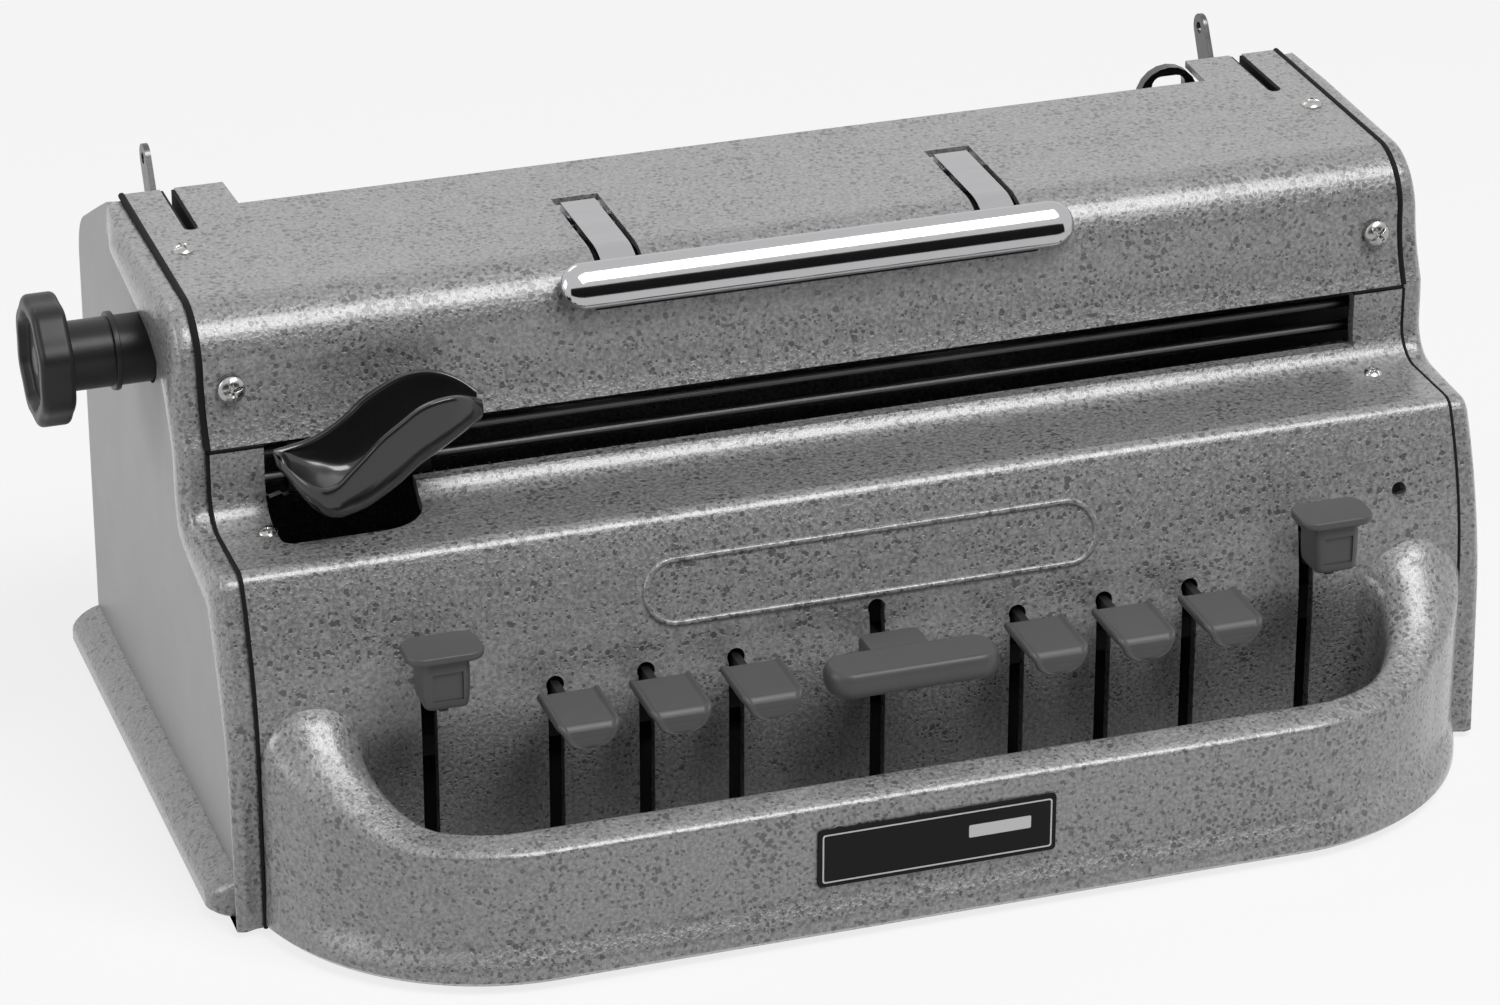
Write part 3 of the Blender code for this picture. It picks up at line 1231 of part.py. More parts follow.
def paddle_section(x, front_y, front_z, back_y, back_z, deep, hollow):
    """A section of the thumb lever: a round-bottomed trough between a front rim and a back rim."""
    rim = PADDLE_RIM
    well = (deep - PADDLE_FLOOR) * hollow
    line = [(front_y, front_z - rim / 2), (front_y + rim / 2, front_z)]
    line += [(front_y + rim, front_z - rim / 3)]
    line += [(front_y + rim, front_z - well / 2), (front_y + 2 * rim, front_z - well)]
    line += [(back_y - 2 * rim, back_z - well), (back_y - rim, back_z - well / 2)]
    line += [(back_y - rim, back_z - rim / 3), (back_y - rim / 2, back_z), (back_y, back_z - rim / 2)]
    line += [(back_y, back_z - deep * UNDER_SHARE), (back_y - 2 * rim, back_z - deep)]
    line += [(front_y + 2 * rim, front_z - deep), (front_y, front_z - deep * UNDER_SHARE)]
    return [(x, y, z) for y, z in line]


def paddle_solid():
    rings = []
    for i, shares in enumerate(PADDLE_SHARES):
        along, front_y, front_z, back_y, back_z, deep = [share * PADDLE_SIZE for share in shares]
        hollow = 0.25 if i == 0 else 1
        rings.append(paddle_section(PADDLE_START - OPEN_X + along, PADDLE_Y + front_y,
                                    PADDLE_Z + front_z, PADDLE_Y + back_y, PADDLE_Z + back_z,
                                    deep, hollow))
    return loft(rings)


def build_paddle(slide):
    """The thumb lever: an S-shaped trough on a stem that turns on a pin in the head's lugs."""
    pivot = add_pivot("head_lever_axis", (HEAD_X, PIVOT_Y, PIVOT_Z), slide)
    item = piece("head_lever", paddle_solid(), pivot, LEVER_PLASTIC, 50)
    stem = arc(PIVOT_Y, PIVOT_Z, LUG_R, -75, 75, 8)
    stem += [(STEM_MID_Y, STEM_MID_Z + LUG_R), (STEM_TIP_Y, STEM_TIP_Z), (STEM_TIP_Y, STEM_TIP_Z - LUG_R)]
    stem += [(STEM_MID_Y, STEM_MID_Z - LUG_R)]
    join(item, slab_x(stem, HEAD_X - STEM_HALF, HEAD_X + STEM_HALF), pivot)
    eye = circle(PIVOT_Y, PIVOT_Z, PIVOT_R + RUN_CLEARANCE, 20)
    cut(item, slab_x(eye, HEAD_X - STEM_HALF - OVERRUN, HEAD_X + STEM_HALF + OVERRUN), pivot)


def lever_solid(x, top_z, front_y):
    """A flat key lever: tongue, knee, hub and tail in one plate."""
    half = LEVER_H / 2
    knee_y = FACE_Y + 2 * WALL
    points = [(LEVER_TAIL_Y, KEY_Z - half), (LEVER_TAIL_Y, KEY_Z + half)]
    points += arc(KEY_Y, KEY_Z, HUB_R, 30, 120, 5)
    points += [(knee_y, top_z), (front_y, top_z), (front_y, top_z - TONGUE_H), (knee_y, top_z - LEVER_H)]
    points += arc(KEY_Y, KEY_Z, HUB_R, 215, 330, 5)
    return slab_x(points, x - LEVER_T / 2, x + LEVER_T / 2)


def build_keys(body):
    for name, x, _ in key_places():
        pivot = add_pivot(name + "_axis", (x, KEY_Y, KEY_Z), body)
        front = CAP_FRONT + 2 * CAP_T
        if name == "space_key":
            parts = space_cap()
            top = SPACE_TOP - SPACE_BAR_T - SEAT_GAP
        elif name in ("line_key", "back_key"):
            parts = side_cap(x)
            top = SIDE_BLOCK_LOW - SEAT_GAP
            front = SIDE_KEY_FRONT + 2 * CAP_T
        else:
            parts = dot_cap(x)
            top = DOT_TOP - CAP_LIP - SEAT_GAP
        lever = piece(name + "_lever", lever_solid(x, top, front), pivot, DARK_STEEL)
        side = LEVER_T / 2 + OVERRUN
        bore = KEY_SHAFT_R + RUN_CLEARANCE
        cut(lever, slab_x(circle(KEY_Y, KEY_Z, bore, 24), x - side, x + side), pivot)
        cap = piece(name + "_cap", parts[0], pivot, KEY_PLASTIC, 40)
        for part in parts[1:]:
            join(cap, part, pivot)


def shrunk(points, distance):
    """A closed outline drawn in by a distance."""
    moved = []
    count = len(points)
    for i, (x, y) in enumerate(points):
        before = points[i - 1]
        after = points[(i + 1) % count]
        length = math.hypot(after[0] - before[0], after[1] - before[1])
        push = distance / length
        moved.append((x - (after[1] - before[1]) * push, y + (after[0] - before[0]) * push))
    return moved


def cap_path():
    """Stations of a dot key's plate and chin: middle y and z, lean in degrees, width share."""
    half = CAP_T / 2
    bend_y = CAP_FRONT + CAP_BEND_R
    bend_z = DOT_TOP - CAP_BEND_R
    inner = CAP_BEND_R - half
    stations = [(CAP_BACK, DOT_TOP - half, 90, CAP_BACK_SHARE), (CAP_BACK - half, DOT_TOP - half, 90, 1)]
    for lean_deg in (90, 120, 150, 180):
        angle = math.radians(lean_deg)
        share = 1 - (1 - CAP_BEND_SHARE) * (lean_deg - 90) / 90
        y = bend_y + inner * math.cos(angle)
        z = bend_z + inner * math.sin(angle)
        stations.append((y, z, lean_deg, share))
    low = DOT_TOP - CAP_CHIN
    stations.append((CAP_FRONT + half, low + half, 180, CAP_CHIN_SHARE))
    stations.append((CAP_FRONT + half, low, 180, CAP_TIP_SHARE))
    return stations


def dot_cap(x):
    """A moulded key top: a thin plate whose front end turns down as a chin, and a core for the lever."""
    rings = []
    for y, z, lean_deg, share in cap_path():
        half = CAP_W / 2 * share
        up_y = math.cos(math.radians(lean_deg)) * CAP_T / 2
        up_z = math.sin(math.radians(lean_deg)) * CAP_T / 2
        flat = half - CAP_CHAMFER
        ring = [(x + half, y, z), (x + flat, y + up_y, z + up_z), (x - flat, y + up_y, z + up_z)]
        ring += [(x - half, y, z), (x - flat, y - up_y, z - up_z), (x + flat, y - up_y, z - up_z)]
        rings.append(ring)
    half = CAP_CORE_W / 2
    core = box((x - half, CAP_FRONT + 2 * CAP_T, DOT_TOP - CAP_LIP),
               (x + half, CAP_BACK - CAP_T, DOT_TOP - CAP_T / 2))
    return [loft(rings), core]


def space_cap():
    """The space bar: a stem plate behind and a rounded cross bar in front."""
    half = SPACE_STEM_W / 2
    bar = rounded(-SPACE_BAR_HALF, SPACE_BAR_FRONT, SPACE_BAR_HALF, SPACE_BAR_BACK,
                  (SPACE_BAR_BACK - SPACE_BAR_FRONT) * 0.45, 5)
    rings = []
    for inset_share, drop_share in SPACE_BAR_SHARES:
        z = SPACE_TOP - SPACE_BAR_T * drop_share
        rings.append([(px, py, z) for px, py in shrunk(bar, CAP_T * inset_share)])
    bm = loft(rings)
    stem = [(-half, SPACE_BAR_BACK - CAP_T), (half, SPACE_BAR_BACK - CAP_T), (half, SPACE_STEM_BACK),
            (-half, SPACE_STEM_BACK)]
    return [bm, slab_z(stem, SPACE_TOP - SPACE_BAR_T, SPACE_TOP - CAP_T)]


def side_cap(x):
    """The line or back key: a wide flat plate on a rounded block."""
    half = SIDE_BLOCK_W / 2
    block = rounded(x - half, SIDE_KEY_FRONT, x + half, SIDE_KEY_BACK, CAP_T, 3)
    wide = SIDE_PLATE_W / 2
    plate = rounded(x - wide, SIDE_KEY_FRONT - CAP_T / 2, x + wide, SIDE_KEY_BACK, CAP_T * 2, 4)
    low = SIDE_KEY_TOP - SIDE_PLATE_T
    return [slab_z(plate, low, SIDE_KEY_TOP), slab_z(block, SIDE_BLOCK_LOW, low + SIDE_PLATE_T / 2)]


def build_margin_stops(body):
    length = FRAME_X - FRAME_T - SEAT_GAP
    half = MARGIN_BAR / 2
    bar = box((-length, MARGIN_Y - half, MARGIN_Z - half),
              (length, MARGIN_Y + half, MARGIN_Z + half))
    piece("margin_bar", bar, body, STEEL)
    for name, x in (("left_margin_stop", STOP_LEFT_X), ("right_margin_stop", STOP_RIGHT_X)):
        pivot = add_pivot(name + "_slide", (x, MARGIN_Y, MARGIN_Z), body)
        wide = STOP_W / 2
        block = box((x - wide, MARGIN_Y - half - STOP_WALL, MARGIN_Z - half - STOP_WALL),
                    (x + wide, MARGIN_Y + half + STOP_WALL, MARGIN_Z + half + STOP_WALL))
        item = piece(name, block, pivot, DARK_STEEL)
        tab = box((x - wide, MARGIN_Y + half + STOP_WALL / 2, MARGIN_Z - STOP_TAB_H / 2),
                  (x + wide, STOP_TAB_Y, MARGIN_Z + STOP_TAB_H / 2))
        join(item, tab, pivot)
        bore = half + RUN_CLEARANCE
        channel = box((x - wide - OVERRUN, MARGIN_Y - bore, MARGIN_Z - bore),
                      (x + wide + OVERRUN, MARGIN_Y + bore, MARGIN_Z + bore))
        cut(item, channel, pivot)


def turned_z(cx, cy, stations, sides=28):
    """A turned solid about an upright axis from (radius, z) stations."""
    return loft([[(x, y, z) for x, y in circle(cx, cy, r, sides)] for r, z in stations])


def build_bell(body):
    low = PAN_LOW + PAN_T + SEAT_GAP
    crown = BELL_Z + BELL_R * BELL_RISE_SHARE
    stations = [(BELL_POST_R, low), (BELL_POST_R, crown - BELL_WALL)]
    for deg in (60, 35, 12, 0):
        angle = math.radians(deg)
        r = BELL_R - BELL_WALL
        stations.append((r * math.cos(angle), BELL_Z + (crown - BELL_WALL - BELL_Z) * math.sin(angle)))
    for deg in (0, 12, 35, 60, 80):
        angle = math.radians(deg)
        stations.append((BELL_R * math.cos(angle), BELL_Z + (crown - BELL_Z) * math.sin(angle)))
    piece("line_bell", turned_z(BELL_X, BELL_Y, stations), body, CHROME, 35)
    build_hammer(body)


def build_hammer(body):
    """A light arm on an upright pin, with a round head beside the bell's rim."""
    x = BELL_X - BELL_R - HAMMER_R - SEAT_GAP
    y = BELL_Y + HAMMER_REACH
    z = BELL_Z + HAMMER_ARM
    pivot = add_pivot("hammer_axis", (x, y, z), body)
    hub = turned_z(x, y, [(HAMMER_HUB_R, z - HAMMER_ARM), (HAMMER_HUB_R, z + HAMMER_ARM)], 20)
    item = piece("bell_hammer", hub, pivot, STEEL, 35)
    half = HAMMER_ARM / 2
    join(item, box((x - half, BELL_Y, z - half), (x + half, y, z + half)), pivot)
    rings = [(HAMMER_R * math.cos(math.radians(deg)), z + HAMMER_R * math.sin(math.radians(deg)))
             for deg in (-70, -35, 0, 35, 70)]
    join(item, turned_z(x, BELL_Y, rings, 16), pivot)
    bore = HAMMER_PIN_R + RUN_CLEARANCE
    ends = [(bore, z - HAMMER_ARM - OVERRUN), (bore, z + HAMMER_ARM + OVERRUN)]
    cut(item, turned_z(x, y, ends, 20), pivot)


def build_base_pan(body):
    """The bottom pan, with the upright pin for the bell's hammer."""
    x = EDGE_X - PAN_INSET
    sheet = box((-x, PAN_FRONT, PAN_LOW), (x, REAR_Y - PAN_INSET, PAN_LOW + PAN_T))
    item = piece("base_pan", sheet, body, STEEL)
    pin_x = BELL_X - BELL_R - HAMMER_R - SEAT_GAP
    pin_y = BELL_Y + HAMMER_REACH
    seat = BELL_Z - SEAT_GAP
    stations = [(HAMMER_POST_R, PAN_LOW + PAN_T / 2), (HAMMER_POST_R, seat), (HAMMER_PIN_R, seat)]
    stations += [(HAMMER_PIN_R, BELL_Z + 2 * HAMMER_ARM + SEAT_GAP)]
    join(item, turned_z(pin_x, pin_y, stations, 20), body)


def build_machine():
    clear_scene()
    body = add_pivot("machine", (0, 0, 0))
    build_front_cover(body)
    build_top_cover(body)
    build_side_plates(body)
    build_rear_cover(body)
    build_base_pan(body)
    build_feet(body)
    build_label(body)
    build_handle(body)
    build_feed(body)
    build_frame(body)
    build_release(body)
    build_paper_path(body)
    build_head(body)
    build_keys(body)
    build_margin_stops(body)
    build_bell(body)
    body.location = (MACHINE_SHIFT, 0, FOOT_PROUD)


build_machine()
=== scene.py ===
"""The looks of a braille writing machine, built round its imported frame."""
import json
import math

import bmesh
import bpy
from mathutils import Matrix, Vector

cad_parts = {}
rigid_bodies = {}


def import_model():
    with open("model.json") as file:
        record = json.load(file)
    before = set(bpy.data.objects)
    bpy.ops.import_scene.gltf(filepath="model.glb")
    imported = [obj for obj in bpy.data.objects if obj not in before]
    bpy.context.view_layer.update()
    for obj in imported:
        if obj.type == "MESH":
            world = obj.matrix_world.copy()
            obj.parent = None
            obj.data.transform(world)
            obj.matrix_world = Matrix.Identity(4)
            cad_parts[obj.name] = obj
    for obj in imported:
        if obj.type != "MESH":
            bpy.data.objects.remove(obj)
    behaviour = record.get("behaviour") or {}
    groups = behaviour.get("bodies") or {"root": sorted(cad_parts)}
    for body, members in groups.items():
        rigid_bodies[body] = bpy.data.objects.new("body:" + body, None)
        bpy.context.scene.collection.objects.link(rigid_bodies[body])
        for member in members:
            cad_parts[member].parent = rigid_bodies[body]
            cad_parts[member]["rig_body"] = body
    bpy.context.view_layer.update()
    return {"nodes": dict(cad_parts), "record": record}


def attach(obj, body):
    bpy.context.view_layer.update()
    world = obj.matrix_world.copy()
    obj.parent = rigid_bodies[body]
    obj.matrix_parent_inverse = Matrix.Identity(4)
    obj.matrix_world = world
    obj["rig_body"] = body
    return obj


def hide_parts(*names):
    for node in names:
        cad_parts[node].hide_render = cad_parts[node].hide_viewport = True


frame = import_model()
nodes = frame["nodes"]
scene = bpy.context.scene
scene.view_settings.view_transform = "Standard"


# Floor, light and camera
# A pale sheet under the machine in a white surround, with a large soft lamp high in front, a weak one high
# behind and one low on the left. None of it belongs to the machine.

class Wire:
    """One socket of a material; sums and products of wires add their own Math nodes."""

    def __init__(self, tree, socket=None):
        self.tree = tree
        self.socket = socket

    def node(self, kind, settings=(), sockets=(), out=0):
        """Adds a node: first its settings, then the values or wires of its sockets."""
        made = self.tree.nodes.new("ShaderNode" + kind)
        for name, value in dict(settings).items():
            setattr(made, name, value)
        for name, value in dict(sockets).items():
            if isinstance(value, Wire):
                self.tree.links.new(value.socket, made.inputs[name])
            else:
                made.inputs[name].default_value = value
        return Wire(self.tree, made.outputs[out])

    def maths(self, operation, first, second):
        return self.node("Math", {"operation": operation}, {0: first, 1: second})

    def __add__(self, other):
        return self.maths("ADD", self, other)

    def __sub__(self, other):
        return self.maths("SUBTRACT", self, other)

    def __mul__(self, other):
        return self.maths("MULTIPLY", self, other)


def material(name, values):
    """A new material: its shader's plain values are set, and a wire starts its other nodes."""
    made = bpy.data.materials.new(name)
    made.use_nodes = True
    shader = made.node_tree.nodes["Principled BSDF"]
    for socket, value in values.items():
        shader.inputs[socket].default_value = value
    return made, shader, Wire(made.node_tree)


def joined(shader, wires):
    """Ends wires in the sockets of a shader."""
    for socket, wire in wires.items():
        wire.tree.links.new(wire.socket, shader.inputs[socket])


def added(name, data):
    """A new object in the scene, round a mesh, lamp or camera."""
    item = bpy.data.objects.new(name, data)
    scene.collection.objects.link(item)
    return item


def card(name, corners, finish):
    """A flat sheet that stands or lies in the studio."""
    mesh = bpy.data.meshes.new(name)
    mesh.from_pydata(corners, [], [(0, 1, 2, 3)])
    mesh.materials.append(finish)
    return added(name, mesh)


def seen_plainly(tree):
    """1 for what the camera, a mirror or a glass sees, 0 for the light that falls on a surface."""
    path = tree.nodes.new("ShaderNodeLightPath")
    seen = Wire(tree, path.outputs["Is Camera Ray"]) + Wire(tree, path.outputs["Is Glossy Ray"])
    seen = seen + Wire(tree, path.outputs["Is Transmission Ray"])
    return seen.maths("MINIMUM", seen, 1)


AMBIENT_SHARE = 0.07
world = bpy.data.worlds.new("white_surround")
scene.world = world
world.use_nodes = True
sky = world.node_tree.nodes["Background"]
sky.inputs["Color"].default_value = (1, 1, 1, 1)
strength = seen_plainly(world.node_tree) * (1 - AMBIENT_SHARE) + AMBIENT_SHARE
world.node_tree.links.new(strength.socket, sky.inputs["Strength"])

FLOOR_REACH, FLOOR_WHITE_SHARE = 6.0, 0.80
plain = {"Base Color": (0.86, 0.86, 0.86, 1), "Roughness": 0.9, "Specular IOR Level": 0.1}
paper, shader, start = material("pale_sheet", plain)
tree = paper.node_tree
seen = seen_plainly(tree)
glow = seen.node("Emission", {}, {"Color": (1, 1, 1, 1), "Strength": 1.0})
sheet = seen.node("MixShader", {}, {0: seen * FLOOR_WHITE_SHARE, 1: Wire(tree, shader.outputs[0]), 2: glow})
tree.links.new(sheet.socket, tree.nodes["Material Output"].inputs["Surface"])
corners = [(x * FLOOR_REACH, y * FLOOR_REACH, 0) for x, y in ((-1, -1), (1, -1), (1, 1), (-1, 1))]
floor = card("floor", corners, paper)

LAMP_AIM = (0, 0, 0.06)
LAMPS = (
    ("sheen_lamp", (0.45, -0.85, 1.75), 1.2, 0.8, 28.0),
    ("back_lamp", (-0.45, 1.25, 1.55), 0.9, 0.6, 3.0),
    ("left_lamp", (-1.8, 0.0, 0.9), 0.8, 0.8, 8.5),
)
for name, spot, wide, deep, power in LAMPS:
    lamp = bpy.data.lights.new(name, "AREA")
    lamp.shape = "RECTANGLE"
    lamp.size = wide
    lamp.size_y = deep
    lamp.energy = power
    holder = added(name, lamp)
    holder.location = spot
    holder.rotation_euler = (Vector(LAMP_AIM) - Vector(spot)).to_track_quat("-Z", "Y").to_euler()
    holder.visible_camera = False

# The dark end of the studio, which only bright metal mirrors as a band.
DARK_Y, DARK_REACH, DARK_LOW, DARK_TOP = -3.2, 3.6, 0.10, 2.30
cloth, shader, start = material("dark_cloth", {"Base Color": (0.02, 0.02, 0.02, 1), "Roughness": 0.9})
corners = [(-DARK_REACH, DARK_Y, DARK_LOW), (DARK_REACH, DARK_Y, DARK_LOW), (DARK_REACH, DARK_Y, DARK_TOP),
           (-DARK_REACH, DARK_Y, DARK_TOP)]
dark_end = card("dark_studio_end", corners, cloth)
dark_end.visible_camera = False
dark_end.visible_diffuse = False
dark_end.visible_shadow = False

EYE = (-0.43715, -1.2906, 0.7360)
TURN_DEG, TILT_DEG, ROLL_DEG = -18.608, 63.993, 0.077
view = bpy.data.cameras.new("camera")
view.lens = 135.66
view.sensor_width = 36
view.clip_start = 0.05
camera = added("camera", view)
camera.matrix_world = (Matrix.Translation(EYE) @ Matrix.Rotation(math.radians(TURN_DEG), 4, "Z")
                       @ Matrix.Rotation(math.radians(TILT_DEG), 4, "X")
                       @ Matrix.Rotation(math.radians(ROLL_DEG), 4, "Z"))
scene.camera = camera


# Front cover
# One aluminium casting: posts, shelf, sloping face, key well and wrist rail. It is sprayed with grey
# hammered enamel, whose dark specks gather in loose clumps, and screwed to the inner frame.

SHIFT = Vector((0.01175, 0.0, 0.002))
EDGE_X = 0.1660
WALL = 0.0032
LIP_Y, POST_TOP, SHELF_Z = -0.0189, 0.1150, 0.0960
POST_FILLET, FOLD_R = 0.0090, 0.0045
FACE_Y, FACE_Z, FACE_R = -0.0623, 0.0460, 0.1110
OPEN_X, OPEN_Z = 0.1515, 0.1003
NOTCH_RIGHT, NOTCH_FRONT, NOTCH_SMALL_R, NOTCH_LARGE_R = -0.1120, -0.0372, 0.0030, 0.0130
EYE_HOLE = (0.1489, 0.0752, 0.0021)
BASE_R, BASE_CX, BASE_CY = 0.0660, 0.1025, -0.0455
WELL_X, WELL_Y, WELL_R = 0.1400, -0.0980, 0.0320
RAIL_BACK, RAIL_TOP, RAIL_HORN = -0.0540, 0.0388, 0.0580
RAIL_CROWN, HORN_CROWN = 0.0052, 0.0105
RISE_SHARE, RISE_POWER = 0.60, 1.7
CREST_SQUARE, CREST_LEAN, CREST_POWER = 1.7, 0.0028, 1.6
BASE_FLARE, BASE_BAND, BAND_FOOT = 0.0040, 0.0100, 0.0016
BAND_SLOPE_LOW, BAND_SLOPE_HIGH = 0.0034, 0.0120
FLOOR_TOP, FLOOR_T = 0.0080, 0.0030
BLEND_R = 0.0070
SEAT, JOIN_GAP, CUT_REACH, CUT_DEEP, POST_CUT = 0.0003, 0.000002, 0.006, 0.015, 0.009
COVER_EDGE_R = 0.00035
SLOT_LOW, SLOT_W, SLOT_HOLE_R, DOT_HOLE_Z = 0.0092, 0.0042, 0.0024, 0.0576
DOT_PITCH_X, DOT_FIRST_X = 0.0244, 0.0389
DOT_PLACES = [side * (DOT_FIRST_X + DOT_PITCH_X * i) for side in (-1, 1) for i in range(3)]
SIDE_KEY_X, SPACE_HOLE_Z, SIDE_HOLE_Z = 0.1213, 0.0650, 0.0715


def loft(rings, capped=True, looped=False):
    """Joins rings of equal count into a skin, with flat ends or round upon itself."""
    bm = bmesh.new()
    rows = [[bm.verts.new(point) for point in ring] for ring in rings]
    pairs = list(zip(rows, rows[1:]))
    if looped:
        pairs.append((rows[-1], rows[0]))
    for low, high in pairs:
        for i in range(len(low)):
            j = (i + 1) % len(low)
            bm.faces.new((low[i], low[j], high[j], high[i]))
    if capped and not looped:
        bm.faces.new(list(reversed(rows[0])))
        bm.faces.new(rows[-1])
    return bm


def arc(cx, cy, r, start_deg, end_deg, steps=16):
    points = []
    for i in range(steps + 1):
        angle = math.radians(start_deg + (end_deg - start_deg) * i / steps)
        points.append((cx + r * math.cos(angle), cy + r * math.sin(angle)))
    return points


def circle(cx, cy, r, sides=36):
    return arc(cx, cy, r, 0, 360 - 360 / sides, sides - 1)


def slab(axis, outline, low, high):
    """A flat solid: a closed outline drawn along X, Y or Z."""
    places = {"x": lambda a, b, c: (c, a, b), "y": lambda a, b, c: (a, c, b), "z": lambda a, b, c: (a, b, c)}
    return loft([[places[axis](a, b, c) for a, b in outline] for c in (low, high)])


def block(low, high):
    (x0, y0, z0), (x1, y1, z1) = low, high
    return slab("z", [(x0, y0), (x1, y0), (x1, y1), (x0, y1)], z0, z1)


def sheet_outline(points, thickness):
    """The closed section of a bent sheet, from its outer line and its thickness."""
    inner = []
    for i, (y, z) in enumerate(points):
        before = points[max(i - 1, 0)]
        after = points[min(i + 1, len(points) - 1)]
        length = math.dist(before, after)
        inner.append((y - (after[1] - before[1]) / length * thickness,
                      z + (after[0] - before[0]) / length * thickness))
    return points + list(reversed(inner))


def meshed(name, bm):
    """An object that takes over a bmesh."""
    mesh = bpy.data.meshes.new(name)
    bm.to_mesh(mesh)
    bm.free()
    return added(name, mesh)


def solid(name, bm):
    """Makes an object of a bmesh that was drawn round the machine's own middle."""
    bmesh.ops.remove_doubles(bm, verts=bm.verts, dist=JOIN_GAP)
    bmesh.ops.recalc_face_normals(bm, faces=bm.faces)
    bmesh.ops.translate(bm, verts=bm.verts, vec=SHIFT)
    return meshed(name, bm)


def settled(item):
    """Turns a piece with live modifiers into a plain mesh."""
    bpy.context.view_layer.update()
    graph = bpy.context.evaluated_depsgraph_get()
    mesh = bpy.data.meshes.new_from_object(item.evaluated_get(graph))
    item.modifiers.clear()
    old = item.data
    item.data = mesh
    bpy.data.meshes.remove(old)
    return item


def worked(item, tools, operation):
    """Cuts solids from a piece, or joins them to it."""
    helpers = []
    for tool in tools:
        helper = solid(item.name + "_tool", tool)
        helpers.append(helper)
        change = item.modifiers.new("work", "BOOLEAN")
        change.operation = operation
        change.solver = "EXACT"
        change.object = helper
    settled(item)
    for helper in helpers:
        bpy.data.objects.remove(helper, do_unlink=True)
    return item


def rounded_off(item, radius, corner_deg=38, steps=2):
    """Takes the sharp edges off a piece, as tumbling and paint do, and shades it smooth."""
    if radius:
        change = item.modifiers.new("edges", "BEVEL")
        change.width = radius
        change.segments = steps
        change.limit_method = "ANGLE"
        change.angle_limit = math.radians(corner_deg)
        change.miter_outer = "MITER_ARC"
        settled(item)
    item.data.shade_smooth()
    item.data.set_sharp_from_angle(angle=math.radians(corner_deg))
    change = item.modifiers.new("flat_faces", "WEIGHTED_NORMAL")
    change.keep_sharp = True
    return settled(item)


def placed(item, body, finish, stands_for=()):
    """Gives a piece its finish and makes it ride on its body."""
    item.data.materials.clear()
    item.data.materials.append(finish)
    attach(item, body)
    if stands_for:
        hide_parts(*stands_for)
    return item


def face_y(z):
    """Where the front face lies at a height: upright at the bottom, curved back above."""
    if z < FACE_Z:
        return FACE_Y
    return FACE_Y + FACE_R - math.sqrt(FACE_R ** 2 - (z - FACE_Z) ** 2)


def front_legs(low):
    """The cover's outer line in legs, from the lower face up to the post's top."""
    face_cy = FACE_Y + FACE_R
    rise = SHELF_Z - FOLD_R - FACE_Z
    run = math.sqrt((FACE_R - FOLD_R) ** 2 - rise ** 2)
    meet_deg = 180 - math.degrees(math.atan2(rise, run))
    upper = arc(face_cy, FACE_Z, FACE_R, 180, meet_deg, 24)
    fold = arc(face_cy - run, SHELF_Z - FOLD_R, FOLD_R, meet_deg, 90, 12)
    fillet = arc(LIP_Y - POST_FILLET, SHELF_Z + POST_FILLET, POST_FILLET, -90, 0, 14)
    return [[(FACE_Y, low), (FACE_Y, FACE_Z)], upper, fold, [fold[-1], fillet[0]], fillet,
            [fillet[-1], (LIP_Y, POST_TOP)]]


def run_together(legs):
    """One line from legs that meet end to end."""
    line = list(legs[0])
    for leg in legs[1:]:
        line += leg if math.dist(line[-1], leg[0]) > SEAT / 10 else leg[1:]
    return line


def rail_height(share):
    if share >= RISE_SHARE:
        return RAIL_TOP
    return RAIL_TOP + (RAIL_HORN - RAIL_TOP) * (1 - share / RISE_SHARE) ** RISE_POWER


def swell(y, z):
    """How far the rail thickens at a place, to run into the face with a round corner."""
    ahead = face_y(max(z, 0)) - y
    if ahead >= BLEND_R:
        return 0.0
    ahead = max(ahead, 0)
    return BLEND_R - math.sqrt(BLEND_R ** 2 - (BLEND_R - ahead) ** 2)


